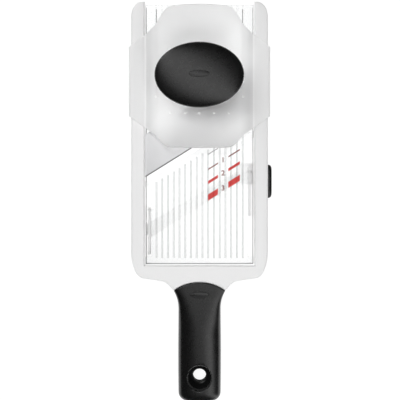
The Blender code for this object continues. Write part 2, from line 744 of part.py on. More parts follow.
def make_side_knob(core_finish, soft_finish, steel, slide):
    """The knob on the right rail: a hard core with a stub through the rail, and a soft cap over it."""
    centre_z = (STUB_Z[0] + STUB_Z[1]) / 2
    plate_x = (FRAME_HALF_WIDTH + GAP, FRAME_HALF_WIDTH + 1.8 * MM)
    plate = box(
        plate_x,
        (KNOB_Y - KNOB_HALF_LENGTH + 2 * MM, KNOB_Y + KNOB_HALF_LENGTH - 2 * MM),
        (KNOB_Z[0] + 2 * MM, KNOB_Z[1] - 2 * MM),
    )
    core = place("side_knob_core", plate, core_finish, slide)
    stub_y = (KNOB_Y - STUB_HALF_LENGTH, KNOB_Y + STUB_HALF_LENGTH)
    add(core, box((UPRIGHT_X[1] + GAP, plate_x[1] - 0.5 * MM), stub_y, STUB_Z), "stub")
    hole = drum(1.3 * MM, 0, 5 * MM, (0, 0), 12)
    cut(core, turn_to(hole, (1, 0, 0), (UPRIGHT_X[1] - 1 * MM, KNOB_Y, centre_z)), "screw_hole")
    made = screw("side_knob_screw", steel, (0, 0), 0, 1.0 * MM, 2.1 * MM, 7.0 * MM, 1.0 * MM)
    made.rotation_euler = (0, math.pi / 2, 0)
    made.parent = slide
    made.location = (UPRIGHT_X[0] - 1.3 * MM, KNOB_Y - slide.location.y, centre_z)
    make_knob_cap(soft_finish, slide, plate_x[1])


def make_knob_cap(finish, slide, plate_top):
    """A D-shaped soft cap, hollow over the core's plate."""
    near = FRAME_HALF_WIDTH + GAP
    low, high = KNOB_Z
    depth = KNOB_OUTER_X - near
    far_end = curve_points((near, KNOB_Y + KNOB_HALF_LENGTH - 5 * MM), (depth, 5 * MM), 90, 0, 6)
    near_end = curve_points((near, KNOB_Y - KNOB_HALF_LENGTH + 3.2 * MM), (depth, 3.2 * MM), 0, -90, 6)
    outline = list(reversed(far_end + near_end))
    shape = prism(outline, low, high)
    rims = [edge for edge in shape.edges if abs(edge.verts[0].co.z - edge.verts[1].co.z) < 1e-6]
    outer = [e for e in rims if min(v.co.x for v in e.verts) > near - 1e-6 and e.calc_length() < 30 * MM]
    bmesh.ops.bevel(shape, geom=outer, offset=1.1 * MM, segments=3, profile=0.5, affect="EDGES")
    cap = place("side_knob_cap", shape, finish, slide)
    hollow = box(
        (near - 2 * MM, plate_top + GAP),
        (KNOB_Y - KNOB_HALF_LENGTH + 2 * MM - GAP, KNOB_Y + KNOB_HALF_LENGTH - 2 * MM + GAP),
        (low + 2 * MM - GAP, high - 2 * MM + GAP),
    )
    cut(cap, hollow, "core_hollow")


# ---------------------------------------------------------------- food holder


def holder_half_length(x):
    """Half the holder's length at a distance from its middle line: wings, cut corners, rounded ends."""
    corners = [
        (0.0, 65.6),
        (27.0, 65.0),
        (31.5, 63.9),
        (34.5, 61.4),
        (42.5, 52.2),
        (53.2, 44.6),
        (68.6, 33.2),
    ]
    distance = abs(x) / MM
    for (x_from, from_length), (x_to, to_length) in zip(corners, corners[1:]):
        if distance <= x_to:
            part = (distance - x_from) / (x_to - x_from)
            return (from_length + (to_length - from_length) * part) * MM
    return corners[-1][1] * MM


def holder_height(x, along):
    """Top of the holder's sheet: low between the rails in the middle and swept up at both ends."""
    edge = OPENING_HALF_WIDTH
    if abs(x) >= edge:
        return WING_TOP
    centre = SADDLE_LOW + SADDLE_CURVE * along**2
    return WING_TOP + (centre - WING_TOP) * (1 - abs(x / edge) ** SADDLE_POWER)


def holder_columns():
    """Places across the sheet, with the rounded fold and the skirt that hangs outside each rail."""
    across = [0.0, 10.0, 19.0, 27.0, 31.5, 34.5, 38.5, 42.5, 47.0, 50.5, 53.3, 66.4]
    columns = [(x * MM, None) for x in across]
    columns += [(67.9 * MM, WING_TOP - 0.6 * MM), (WING_OUTER_X, WING_TOP - 2.2 * MM)]
    columns += [(WING_OUTER_X, SKIRT_BOTTOM)]
    return [(-x, z) for x, z in reversed(columns[1:])] + columns


def make_holder(finish, body):
    rows = 16
    shape = bmesh.new()
    grid = []
    for x, height in holder_columns():
        half = holder_half_length(min(abs(x), WING_OUTER_X))
        line = []
        for row in range(rows + 1):
            along = half * (2 * row / rows - 1)
            top = holder_height(x, along) if height is None else height
            line.append(shape.verts.new((x, HOLDER_Y + along, top)))
        grid.append(line)
    for first, second in zip(grid, grid[1:]):
        for row in range(rows):
            shape.faces.new((first[row], second[row], second[row + 1], first[row + 1]))
    holder = place("holder_guard", shape, finish, body)
    wall = holder.modifiers.new("wall", "SOLIDIFY")
    wall.thickness = HOLDER_THICK
    wall.offset = -1
    wall.use_even_offset = True
    pad = turned(
        [(0, STEM_BOTTOM - GAP), (20 * MM, STEM_BOTTOM - GAP), (22 * MM, 20.4 * MM), (0, 20.4 * MM)],
        (0, HOLDER_Y),
        20,
        (1.0, 0.72),
    )
    add(holder, pad, "stem_pad")
    for row, y in enumerate(PIN_ROWS_Y):
        add_pin_row(holder, row, y)
    for side in (-1, 1):
        hole = drum(1.6 * MM, 15 * MM, 30 * MM, (side * STEM_SCREW_X, HOLDER_Y), 12)
        cut(holder, hole, f"screw_hole_{'left' if side < 0 else 'right'}")
    return holder


def add_pin_row(holder, row, y):
    """Small pointed pins under the sheet, which hold the food."""
    reach = 3 if abs(y) < 20 * MM else 2
    for column in range(-reach, reach + 1):
        if y == 0.0 and abs(column) < 2:
            continue
        x = column * PIN_PITCH_X
        root = holder_height(x, y) - 0.9 * MM
        profile = [(0, root), (1.6 * MM, root), (0.45 * MM, PIN_TIP_Z), (0, PIN_TIP_Z)]
        add(holder, turned(profile, (x, HOLDER_Y + y), 6), f"pin_{row}_{column + reach}")


def make_palm_knob(stem_finish, cover_finish, steel, body):
    """The oval palm knob: a stem with a wide head, screwed on from below, and a soft cover."""
    centre = (0, HOLDER_Y)
    scale = (1.0, PALM_RADII[1] / PALM_RADII[0])
    wide = PALM_RADII[0]
    stem_profile = [
        (0, PALM_TOP - 4.6 * MM),
        (wide * 0.42, PALM_TOP - 5.0 * MM),
        (wide * 0.66, PALM_TOP - 6.4 * MM),
        (wide * 0.68, PALM_BOTTOM + 0.6 * MM),
        (wide * 0.60, PALM_BOTTOM - 0.6 * MM),
        (wide * 0.44, PALM_BOTTOM - 3.6 * MM),
        (wide * 0.37, PALM_BOTTOM - 9.0 * MM),
        (wide * 0.355, STEM_BOTTOM + 9 * MM),
        (wide * 0.39, STEM_BOTTOM + 3 * MM),
        (wide * 0.44, STEM_BOTTOM),
        (0, STEM_BOTTOM),
    ]
    stem = place("palm_knob_stem", turned(stem_profile, centre, 28, scale), stem_finish, body)
    for name, side in SIDES.items():
        screw_centre = (side * STEM_SCREW_X, HOLDER_Y)
        cut(stem, drum(1.5 * MM, 20 * MM, 37 * MM, screw_centre, 12), f"hole_{name}")
        head = (17.6 * MM, 19.0 * MM, 2.8 * MM)
        made = screw(f"palm_knob_screw_{name}", steel, screw_centre, *head, 36 * MM)
        made.parent = body
        made.matrix_parent_inverse = Matrix.Translation(-body.location)
    dome = []
    for step in range(6):
        turn = math.radians(90 * step / 5)
        dome.append((wide * math.sin(turn) ** 0.92, PALM_TOP - 5.6 * MM * (1 - math.cos(turn) ** 0.9)))
    cover_profile = dome + [
        (wide * 0.998, PALM_TOP - 7.0 * MM),
        (wide * 0.97, PALM_TOP - 8.8 * MM),
        (wide * 0.91, PALM_TOP - 10.6 * MM),
        (wide * 0.82, PALM_BOTTOM + 0.2 * MM),
        (wide * 0.76, PALM_BOTTOM),
        (wide * 0.70, PALM_BOTTOM + 0.7 * MM),
        (wide * 0.69, PALM_TOP - 5.9 * MM),
        (wide * 0.44, PALM_TOP - 4.5 * MM),
        (0, PALM_TOP - 4.2 * MM),
    ]
    place("palm_knob_cover", turned(cover_profile, centre, 36, scale), cover_finish, body)


# ---------------------------------------------------------------- assembly


def empty(name, location):
    made = bpy.data.objects.new(name, None)
    made.location = location
    bpy.context.scene.collection.objects.link(made)
    return made


def main():
    clear_scene()
    white = material("white_plastic", (0.86, 0.86, 0.85), 0.35)
    clear = material("clear_plastic", (0.95, 0.96, 0.96), 0.08, transmission=1.0)
    frosted = material("frosted_plastic", (0.88, 0.88, 0.87), 0.45, transmission=0.4)
    black = material("soft_black", (0.03, 0.03, 0.03), 0.55)
    hard_black = material("hard_black", (0.04, 0.04, 0.04), 0.4)
    steel = material("blade_steel", (0.72, 0.72, 0.72), 0.15, metallic=1.0)
    zinc = material("screw_steel", (0.6, 0.6, 0.6), 0.3, metallic=1.0)

    make_frame(white)
    make_base_cover(white, zinc)
    make_feet(black)
    make_grip(black)
    make_bed(clear)
    make_blade(steel)
    make_blade_clamps(white, zinc)

    lift = empty("ramp_lift_axis", (0, 0, CAM_Z))
    make_ramp(clear, lift)
    slide = empty("thickness_slide_axis", (0, KNOB_Y, 0))
    make_setting_slide(frosted, slide)
    make_detent_spring(zinc, slide)
    make_side_knob(hard_black, black, zinc, slide)

    holder = empty("holder_slide_axis", (0, HOLDER_Y, 0))
    make_holder(frosted, holder)
    make_palm_knob(frosted, black, zinc, holder)


main()
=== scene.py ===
"""Looks of a handheld mandoline slicer: its finishes, fine shapes, printed marks, stage and camera.

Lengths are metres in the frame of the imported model: +Y away from the handle, +X to the right, +Z up.
"""

import json
import math

import bmesh
import bpy
from bpy.props import FloatProperty, FloatVectorProperty, IntProperty, PointerProperty
from mathutils import Matrix, Vector

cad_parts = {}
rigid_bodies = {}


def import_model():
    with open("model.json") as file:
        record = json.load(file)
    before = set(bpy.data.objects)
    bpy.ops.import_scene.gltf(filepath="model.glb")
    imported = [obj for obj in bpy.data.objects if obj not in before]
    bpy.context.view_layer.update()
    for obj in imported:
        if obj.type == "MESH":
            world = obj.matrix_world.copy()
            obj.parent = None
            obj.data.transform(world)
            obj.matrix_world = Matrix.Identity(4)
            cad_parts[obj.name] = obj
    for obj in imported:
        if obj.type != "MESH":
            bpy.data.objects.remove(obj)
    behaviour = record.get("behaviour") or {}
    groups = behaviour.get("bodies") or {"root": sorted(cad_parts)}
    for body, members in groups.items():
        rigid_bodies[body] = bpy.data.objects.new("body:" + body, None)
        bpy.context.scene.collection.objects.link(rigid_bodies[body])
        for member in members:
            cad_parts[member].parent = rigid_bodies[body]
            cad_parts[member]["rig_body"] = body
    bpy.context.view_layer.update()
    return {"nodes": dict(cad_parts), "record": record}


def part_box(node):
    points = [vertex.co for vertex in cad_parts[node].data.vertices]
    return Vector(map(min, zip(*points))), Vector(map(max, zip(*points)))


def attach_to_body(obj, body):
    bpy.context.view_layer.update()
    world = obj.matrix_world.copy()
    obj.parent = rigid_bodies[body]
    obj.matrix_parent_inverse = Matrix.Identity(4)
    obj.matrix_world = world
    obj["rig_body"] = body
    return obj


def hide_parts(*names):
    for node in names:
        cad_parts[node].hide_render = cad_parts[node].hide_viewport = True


bl_info = {
    "name": "Mandoline slicer looks",
    "version": (1, 0, 0),
    "blender": (4, 5, 0),
    "location": "3D View > Sidebar > Slicer",
    "description": "Finishes, fine shapes and stage for a handheld mandoline slicer",
    "category": "Object",
}

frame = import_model()

MM = 0.001
SHARP_ANGLE = 35
SIDES = {"left": -1, "right": 1}
GRIP_LOW, GRIP_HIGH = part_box("grip")
GUARD_LOW, GUARD_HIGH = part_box("holder_guard")
COVER_LOW, COVER_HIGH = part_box("palm_knob_cover")
CAP_LOW, CAP_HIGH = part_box("side_knob_cap")
SLOTS = {part["node"]: part["material_slot"] for part in frame["record"]["subparts"]}

# Shapes shared with the solids
BLADE_SLOPE = math.tan(math.radians(32.0))
BLADE_EDGE_Y = 57.8 * MM
OPENING_HALF_WIDTH = 53.3 * MM
OPENING_NEAR_Y = -61.5 * MM
# Height on the opening's walls where their painted shade below meets their painted glow above
WALL_FOOT = 10.0 * MM
RAMP_PLATE_TOP = 7.9 * MM
RAMP_RIB_TOP = 8.7 * MM
RIB_PITCH = 5.74 * MM
RIB_TOP_WIDTH = 0.7 * MM
RIB_DRAFT = 0.5
GRIP_ARC_RADIUS = 43.3 * MM
GRIP_HALF_WIDTH = 20.7 * MM
GRIP_CORNER = 8.0 * MM
NECK_CENTRE = (42.0 * MM, -104.0 * MM)
NECK_RADII = (21.3 * MM, 28.0 * MM)
HANG_HOLE = (0.0, -171.0 * MM)
FUNNEL_RADIUS = 12.4 * MM
LEDGE_RADIUS = 8.2 * MM
WAIST_RADIUS = 6.6 * MM
WAIST_LOW = 6.8 * MM
GUARD_THICK = 1.8 * MM
WING_TOP = 26.3 * MM
SADDLE_LOW = 21.2 * MM
SADDLE_CURVE = 7.1
SADDLE_POWER = 3.1
PIN_PITCH = 14.1 * MM
PIN_ROWS = (-31.0 * MM, -14.5 * MM, 0.0, 14.5 * MM, 31.0 * MM)
PIN_TIP = GUARD_LOW.z
HOLDER_Y = (GUARD_LOW.y + GUARD_HIGH.y) / 2
PALM_RADII = ((COVER_HIGH.x - COVER_LOW.x) / 2, (COVER_HIGH.y - COVER_LOW.y) / 2)
PALM_TOP = COVER_HIGH.z - 0.3 * MM
PALM_RISE = 5.4 * MM

# Print and light
INK_THICK = 0.05 * MM
BAND_ACROSS = (0.753, 0.659, 0.0)


# ---------------------------------------------------------------- settings


def length(name, description, millimetres):
    return FloatProperty(name=name, description=description, default=millimetres * MM, unit="LENGTH")


def colour(name, description, *default):
    return FloatVectorProperty(
        name=name, description=description, default=default, subtype="COLOR", size=3, min=0.0, max=1.0
    )


def share(name, description, default):
    return FloatProperty(
        name=name, description=description, default=default, subtype="FACTOR", min=0, max=1
    )


def level(name, description, default):
    return FloatProperty(name=name, description=description, default=default)


def power(name, description, watts):
    return FloatProperty(name=name, description=description, default=watts, unit="POWER")


class SlicerFinishes(bpy.types.PropertyGroup):
    white: colour("White plastic", "Moulded housing and base cover", 0.82, 0.82, 0.82)
    frosted: colour("Frosted plastic", "Food holder and palm knob stem", 0.985, 0.985, 0.985)
    # Painted light and shade on the food holder: a painted highlight on its folds, and painted shade on its
    # steep sides and its wings. The pins take the fold's pale tone as their own colour.
    fold: colour("Bright fold", "The polished folds of the food holder", 0.96, 0.96, 0.96)
    swept: colour("Swept side", "The food holder's steep parts beside its folds", 0.80, 0.80, 0.80)
    wing: colour("Wing", "The food holder's wings over the rails", 0.90, 0.90, 0.90)
    # Painted shade on the rounded edges of frosted pieces
    sheet_edge: colour("Sheet edge", "The rounded edges of frosted pieces", 0.70, 0.70, 0.70)
    slide: colour("Slide plastic", "Setting slide", 0.88, 0.88, 0.88)
    clear: colour("Clear plastic", "Bed and ramp", 0.91, 0.915, 0.915)
    # Painted shade on the steep sides of the ramp's and the bed's ribs
    ramp_tint: colour("Ramp rib tint", "How the steep sides of the ramp's ribs darken", 0.12, 0.125, 0.125)
    bed_tint: colour("Bed rib tint", "How the steep sides of the bed's ribs darken", 0.80, 0.81, 0.81)
    soft_black: colour("Soft black", "Grip, palm knob, side knob and feet", 0.004, 0.004, 0.004)
    hard_black: colour("Hard black", "Core of the side knob", 0.030, 0.030, 0.032)
    steel: colour("Blade steel", "Blade and detent spring", 0.74, 0.74, 0.75)
    # Painted shade: the dark strip along the cutting edge of the blade
    ground_edge: colour("Ground edge", "Narrow ground strip along the cutting edge", 0.10, 0.10, 0.10)
    screw_steel: colour("Screw steel", "Plated screws", 0.60, 0.60, 0.61)
    red_ink: colour("Red ink", "The two thicker setting marks", 0.62, 0.055, 0.05)
    brown_ink: colour("Brown ink", "The thinnest setting mark and the digits", 0.22, 0.06, 0.05)
    grey_ink: colour("Grey ink", "The mark of the locked setting", 0.22, 0.21, 0.21)
    frost_depth: share("Frost clearness", "Share of light that the frosted plastic lets through", 0.60)
    frost_shade: share("Frost shade", "Share of lamp light that falls through the frosted plastic", 0.75)
    # Painted shade on the deep lower part of the opening's walls
    wall_shade: colour("Wall shade", "The deep lower part of the opening's walls", 0.03, 0.03, 0.03)
    # Painted light: a glow that brightens the pin roots
    pin_glow: share("Pin glow", "Light that the holder's pins lead up to their roots", 0.15)
    # Painted light: the glow given to the upper part of the opening's walls
    wall_glow: share("Wall glow", "Light that soaks through the plastic to the opening's walls", 0.42)


class SlicerShapes(bpy.types.PropertyGroup):
    soft_edge: length("Soft edge", "Rounding on the edges of moulded pieces", 0.25)
    thin_edge: length("Thin edge", "Rounding on the edges of clear and thin pieces", 0.12)
    rim_round: length("Rim rounding", "Rounding on the rims of the soft pieces", 0.8)
    badge_length: length("Badge length", "Length of the blank oval badges", 19.0)
    badge_width: length("Badge width", "Width of the blank oval badges", 6.2)
    digit_height: length("Digit height", "Height of the setting digits", 5.0)
    around: IntProperty(
        name="Segments", description="Segments around round pieces", default=96, min=16, max=256
    )


class SlicerStage(bpy.types.PropertyGroup):
    camera_x: length("Camera X", "The camera's place across the slicer", 3.4)
    camera_y: length("Camera Y", "The camera's place along the slicer", 2.0)
    camera_height: length("Camera height", "The camera's height above the floor", 584.0)
    lens: FloatProperty(name="Lens", description="Focal length", default=51.96, unit="CAMERA")
    shift: level("Shift", "Sideways shift of the picture", -0.0075)
    floor_glow: level("Floor glow", "Brightness of the pale floor", 0.90)
    backdrop: level("Backdrop", "Brightness of the room behind the floor", 0.90)
    band_glow: level("Band", "Brightness of the long soft light overhead", 1.40)
    side_glow: level("Room", "Brightness of the room beside the band", 0.02)
    key_power: power("Key light", "Power of the soft key light", 5.0)
    fill_power: power("Fill", "Power of the overhead fill", 8.2)
    near_power: power("Near light", "Power of the light past the grip", 5.0)


# ---------------------------------------------------------------- node graphs


class Graph:
    """Adds nodes to a material or a group, and joins them."""

    def __init__(self, tree):
        self.tree = tree

    def join(self, value, socket):
        if isinstance(value, bpy.types.NodeSocket):
            self.tree.links.new(value, socket)
        else:
            socket.default_value = value

    def add(self, kind, settings=None, values=(), **named):
        made = self.tree.nodes.new("ShaderNode" + kind)
        for key, value in (settings or {}).items():
            setattr(made, key, value)
        for socket, value in zip(made.inputs, values):
            self.join(value, socket)
        for key, value in named.items():
            self.join(value, made.inputs[key.replace("_", " ")])
        return made

    def math(self, operation, *values):
        return self.add("Math", {"operation": operation}, values).outputs[0]

    def span(self, value, low, high, to_low=0.0, to_high=1.0, smooth=False):
        """Maps a value from one range to another, and clamps it."""
        shape = {"interpolation_type": "SMOOTHSTEP" if smooth else "LINEAR"}
        return self.add("MapRange", shape, (value, low, high, to_low, to_high)).outputs[0]

    def blend(self, factor, first, second, mode="MIX"):
        made = self.add("Mix", {"data_type": "RGBA", "blend_type": mode})
        for number, value in ((0, factor), (6, first), (7, second)):
            self.join(value, made.inputs[number])
        return made.outputs[2]

    def noise(self, scale, detail=2.0):
        place = self.add("TexCoord").outputs["Object"]
        return self.add("TexNoise", Vector=place, Scale=scale, Detail=detail).outputs[0]

    def place(self):
        """X, Y and Z of the point, in the frame of the slicer."""
        return self.add("SeparateXYZ", None, (self.add("TexCoord").outputs["Object"],)).outputs

    def upward(self):
        """How far the surface faces up or down, from 0 on a wall to 1 on a level face."""
        normal = self.add("NewGeometry").outputs["Normal"]
        return self.math("ABSOLUTE", self.add("SeparateXYZ", None, (normal,)).outputs["Z"])


def group(name, inputs, outputs):
    """A new shader group, its graph, its input sockets by name and the node its outputs go to."""
    tree = bpy.data.node_groups.new(name, "ShaderNodeTree")
    for socket, kind, default in inputs:
        made = tree.interface.new_socket(name=socket, in_out="INPUT", socket_type="NodeSocket" + kind)
        made.default_value = default
    for socket, kind in outputs:
        tree.interface.new_socket(name=socket, in_out="OUTPUT", socket_type="NodeSocket" + kind)
    graph = Graph(tree)
    return tree, graph, tree.nodes.new("NodeGroupInput").outputs, tree.nodes.new("NodeGroupOutput").inputs


def grain_group():
    """The fine texture of a mould, as a height."""
    inputs = [("Scale", "Float", 1500.0), ("Depth", "Float", 1.0)]
    tree, graph, given, result = group("Mould grain", inputs, [("Height", "Float")])
    fine = graph.noise(given["Scale"], 3.0)
    coarse = graph.noise(graph.math("MULTIPLY", given["Scale"], 0.22), 1.0)
    both = graph.math("MULTIPLY_ADD", coarse, 0.6, fine)
    graph.join(graph.math("MULTIPLY", both, given["Depth"]), result["Height"])
    return tree


def drift_group():
    """Slow changes of tone and gloss over a moulded face."""
    inputs = [
        ("Colour", "Color", (0.8, 0.8, 0.8, 1.0)),
        ("Drift", "Float", 0.03),
        ("Roughness", "Float", 0.4),
        ("Gloss Drift", "Float", 0.05),
        ("Scale", "Float", 18.0),
    ]
    tree, graph, given, result = group("Tone drift", inputs, [("Colour", "Color"), ("Roughness", "Float")])
    slow = graph.noise(given["Scale"], 2.0)
    centred = graph.math("SUBTRACT", slow, 0.5)
    tone = graph.math("MULTIPLY_ADD", centred, given["Drift"], 1.0)
    grey = graph.add("CombineColor", None, (tone, tone, tone)).outputs[0]
    graph.join(graph.blend(1.0, given["Colour"], grey, "MULTIPLY"), result["Colour"])
    quick = graph.noise(graph.math("MULTIPLY", given["Scale"], 9.0), 4.0)
    centred = graph.math("SUBTRACT", quick, 0.5)
    gloss = graph.math("MULTIPLY_ADD", centred, given["Gloss Drift"], given["Roughness"])
    graph.join(gloss, result["Roughness"])
    return tree


def wear_group():
    """Paler, smoother rims where hands rub a soft piece, and a little dust on what faces up."""
    inputs = [
        ("Colour", "Color", (0.02, 0.02, 0.02, 1.0)),
        ("Worn Colour", "Color", (0.035, 0.035, 0.035, 1.0)),
        ("Wear", "Float", 0.5),
        ("Dust", "Float", 0.1),
        ("Roughness", "Float", 0.6),
    ]
    outputs = [("Colour", "Color"), ("Roughness", "Float")]
    tree, graph, given, result = group("Handling wear", inputs, outputs)
    shape = graph.add("NewGeometry")
    rim = graph.span(shape.outputs["Pointiness"], 0.53, 0.62)
    patches = graph.span(graph.noise(160.0, 4.0), 0.42, 0.68)
    worn = graph.math("MULTIPLY", graph.math("MULTIPLY", rim, patches), given["Wear"])
    rubbed = graph.blend(worn, given["Colour"], given["Worn Colour"])
    upward = graph.span(graph.add("SeparateXYZ", None, (shape.outputs["Normal"],)).outputs["Z"], 0.3, 1.0)
    specks = graph.span(graph.noise(2600.0, 3.0), 0.62, 0.80)
    dust = graph.math("MULTIPLY", graph.math("MULTIPLY", upward, specks), given["Dust"])
    graph.join(graph.blend(dust, rubbed, (0.42, 0.41, 0.40, 1.0)), result["Colour"])
    graph.join(graph.math("MULTIPLY_ADD", worn, -0.12, given["Roughness"]), result["Roughness"])
    return tree


def brushing_group():
    """Fine parallel lines left by grinding, as roughness and height."""
    inputs = [("Roughness", "Float", 0.25), ("Depth", "Float", 1.0), ("Turn", "Float", 0.0)]
    outputs = [("Roughness", "Float"), ("Height", "Float")]
    tree, graph, given, result = group("Grinding lines", inputs, outputs)
    place = graph.add("TexCoord").outputs["Object"]
    angle = graph.add("CombineXYZ", None, (0.0, 0.0, given["Turn"])).outputs[0]
    turned = graph.add("Mapping", Vector=place, Rotation=angle).outputs[0]
    drawn = graph.add("Mapping", Vector=turned, Scale=(40.0, 5200.0, 5200.0)).outputs[0]
    lines = graph.add("TexNoise", Vector=drawn, Scale=1.0, Detail=3.0).outputs[0]
    graph.join(graph.math("MULTIPLY_ADD", lines, 0.12, given["Roughness"]), result["Roughness"])
    graph.join(graph.math("MULTIPLY", lines, given["Depth"]), result["Height"])
    return tree


GROUPS = {
    "grain": ("Mould grain", grain_group),
    "drift": ("Tone drift", drift_group),
    "wear": ("Handling wear", wear_group),
    "brushing": ("Grinding lines", brushing_group),
}


def effect(graph, kind, **values):
    """Places a shared effect in a material with its own values, and gives its outputs."""
    name, build = GROUPS[kind]
    made = graph.tree.nodes.new("ShaderNodeGroup")
    made.node_tree = bpy.data.node_groups.get(name) or build()
    for key, value in values.items():
        graph.join(value, made.inputs[key.replace("_", " ")])
    return made.outputs


# ---------------------------------------------------------------- materials


def rgba(three):
    return (*three, 1.0)


BLACK = (0.0, 0.0, 0.0)
WHITE = (1.0, 1.0, 1.0)


def start_material(name):
    made = bpy.data.materials.new(name)
    made.use_nodes = True
    graph = Graph(made.node_tree)
    return made, graph, made.node_tree.nodes["Principled BSDF"]


def bump(graph, shader, height, strength, distance=0.1 * MM):
    made = graph.add("Bump", Strength=strength, Distance=distance, Height=height)
    graph.join(made.outputs[0], shader.inputs["Normal"])


def tint(graph, shader, part, shade):
    """Blends a shade into the base colour over part of a surface."""
    tone = shader.inputs["Base Color"].links[0].from_socket
    graph.join(graph.blend(part, tone, rgba(shade)), shader.inputs["Base Color"])


def moulded(name, base, roughness, drift=0.03, grain_scale=1500.0, grain=0.12):
    """A moulded plastic: slow tone drift, uneven gloss and the fine grain of its mould."""
    made, graph, shader = start_material(name)
    tone = effect(graph, "drift", Colour=rgba(base), Drift=drift, Roughness=roughness, Gloss_Drift=0.08)
    graph.join(tone["Colour"], shader.inputs["Base Color"])
    graph.join(tone["Roughness"], shader.inputs["Roughness"])
    texture = effect(graph, "grain", Scale=grain_scale, Depth=1.0)
    bump(graph, shader, texture["Height"], grain)
    return made, graph, shader


def lets_lamps_through(graph, shader, kept):
    """Lamp light passes the piece, only dimmed, as it does through thin clear or frosted plastic."""
    lamp = graph.add("LightPath").outputs["Is Shadow Ray"]
    through = graph.add("BsdfTransparent", Color=(kept, kept, kept, 1.0))
    mixed = graph.add("MixShader", None, (lamp, shader.outputs[0], through.outputs[0]))
    graph.join(mixed.outputs[0], graph.tree.nodes["Material Output"].inputs["Surface"])


def white_plastic(name, look):
    """Satin white plastic, with painted light and shade on the opening's walls: a painted glow on their
    upper part and painted shade at their foot.
    """
    made, graph, shader = moulded(name, look.white, 0.36, drift=0.02, grain=0.10)
    shader.inputs["Specular IOR Level"].default_value = 0.45
    place = graph.place()
    upright = graph.span(graph.upward(), 0.30, 0.10)
    across = graph.math("ABSOLUTE", place["X"])
    beside = graph.span(across, OPENING_HALF_WIDTH + 1.2 * MM, OPENING_HALF_WIDTH + 0.4 * MM)
    before = graph.span(place["Y"], OPENING_NEAR_Y - 1.5 * MM, OPENING_NEAR_Y - 0.7 * MM)
    wall = graph.math("MULTIPLY", upright, graph.math("MULTIPLY", beside, before))
    # Painted shade: the walls darken towards their foot
    foot = graph.span(place["Z"], WALL_FOOT, WALL_FOOT - 2.0 * MM)
    tint(graph, shader, graph.math("MULTIPLY", wall, foot), look.wall_shade)
    # Painted light: the walls glow above their foot, though they are no lamp
    above = graph.span(place["Z"], WALL_FOOT, WALL_FOOT + 2.0 * MM)
    glow = graph.blend(graph.math("MULTIPLY", wall, above), rgba(BLACK), rgba(WHITE))
    graph.join(glow, shader.inputs["Emission Color"])
    shader.inputs["Emission Strength"].default_value = look.wall_glow
    return made


def frosted_plastic(name, look, base, clearness=1.0):
    """Frosted translucent plastic, with painted shade that darkens its faces as they turn from level, which
    shows on its rounded edges.
    """
    made, graph, shader = moulded(name, base, 0.38, drift=0.03, grain_scale=2200.0, grain=0.12)
    # Painted shade on faces that turn away from level
    tint(graph, shader, graph.span(graph.upward(), 0.90, 0.60), look.sheet_edge)
    shader.inputs["Transmission Weight"].default_value = look.frost_depth * clearness
    shader.inputs["IOR"].default_value = 1.45
    lets_lamps_through(graph, shader, look.frost_shade)
    return made, graph, shader


def holder_plastic(name, look):
    """The food holder's frosted plastic with painted shade and a painted highlight: greyer beside its folds
    and on its wings, bright on the folds.
    """
    made, graph, shader = frosted_plastic(name, look, look.frosted)
    across = graph.math("ABSOLUTE", graph.place()["X"])
    fold_x = OPENING_HALF_WIDTH - 1.0 * MM
    off_fold = graph.math("ABSOLUTE", graph.math("SUBTRACT", across, fold_x))
    # Painted shade beside the folds and on the wings, and a painted highlight along the folds
    zones = (
        (graph.span(across, 39.0 * MM, 48.0 * MM), look.swept),
        (graph.span(across, fold_x, fold_x + 0.8 * MM), look.wing),
        (graph.span(off_fold, 1.0 * MM, 0.4 * MM), look.fold),
    )
    for zone, shade in zones:
        tint(graph, shader, zone, shade)
    return made


def pin_plastic(name, look):
    """Nearly opaque frosted plastic, made a little bright by painted light: a faint glow on the pins and
    their roots.
    """
    # The pins take the fold's pale tone as their own colour
    made, graph, shader = frosted_plastic(name, look, look.fold, 0.1)
    # Painted light: the pins glow a little, though they are no lamp
    shader.inputs["Emission Color"].default_value = rgba(WHITE)
    shader.inputs["Emission Strength"].default_value = look.pin_glow
    return made


def clear_plastic(name, look, painted_rib_shade):
    """Clear plastic, with painted shade that darkens the steep sides of its ribs and edges."""
    made, graph, shader = start_material(name)
    # Painted shade on the steep faces
    steep = graph.span(graph.upward(), 0.95, 0.50)
    uneven = graph.span(graph.noise(260.0, 2.0), 0.30, 0.70, 0.85, 1.0)
    tinted = graph.blend(graph.math("MULTIPLY", steep, uneven), rgba(look.clear), rgba(painted_rib_shade))
    graph.join(tinted, shader.inputs["Base Color"])
    gloss = graph.span(graph.noise(240.0, 4.0), 0.3, 0.7, 0.01, 0.05)
    graph.join(gloss, shader.inputs["Roughness"])
    shader.inputs["IOR"].default_value = 1.49
    shader.inputs["Transmission Weight"].default_value = 1.0
    bump(graph, shader, graph.noise(40.0, 1.0), 0.04, 0.3 * MM)
    lets_lamps_through(graph, shader, 0.96)
    return made


def soft_black(name, look):
    made, graph, shader = start_material(name)
    tone = effect(graph, "drift", Colour=rgba(look.soft_black), Drift=0.5, Roughness=0.28, Gloss_Drift=0.12)
    worn = effect(graph, "wear", Colour=tone["Colour"], Wear=0.3, Dust=0.006, Roughness=tone["Roughness"])
    graph.join(worn["Colour"], shader.inputs["Base Color"])
    graph.join(worn["Roughness"], shader.inputs["Roughness"])
    bump(graph, shader, effect(graph, "grain", Scale=2400.0, Depth=1.0)["Height"], 0.30)
    shader.inputs["Specular IOR Level"].default_value = 0.85
    return made


def recess_black(name, look):
    """A matt, barely glossy copy of the soft black for the hanging hole's wall: painted shade that keeps the
    hole dark.
    """
    made, graph, shader = moulded(name, look.soft_black, 0.75, drift=0.3, grain=0.2)
    shader.inputs["Specular IOR Level"].default_value = 0.15
    return made


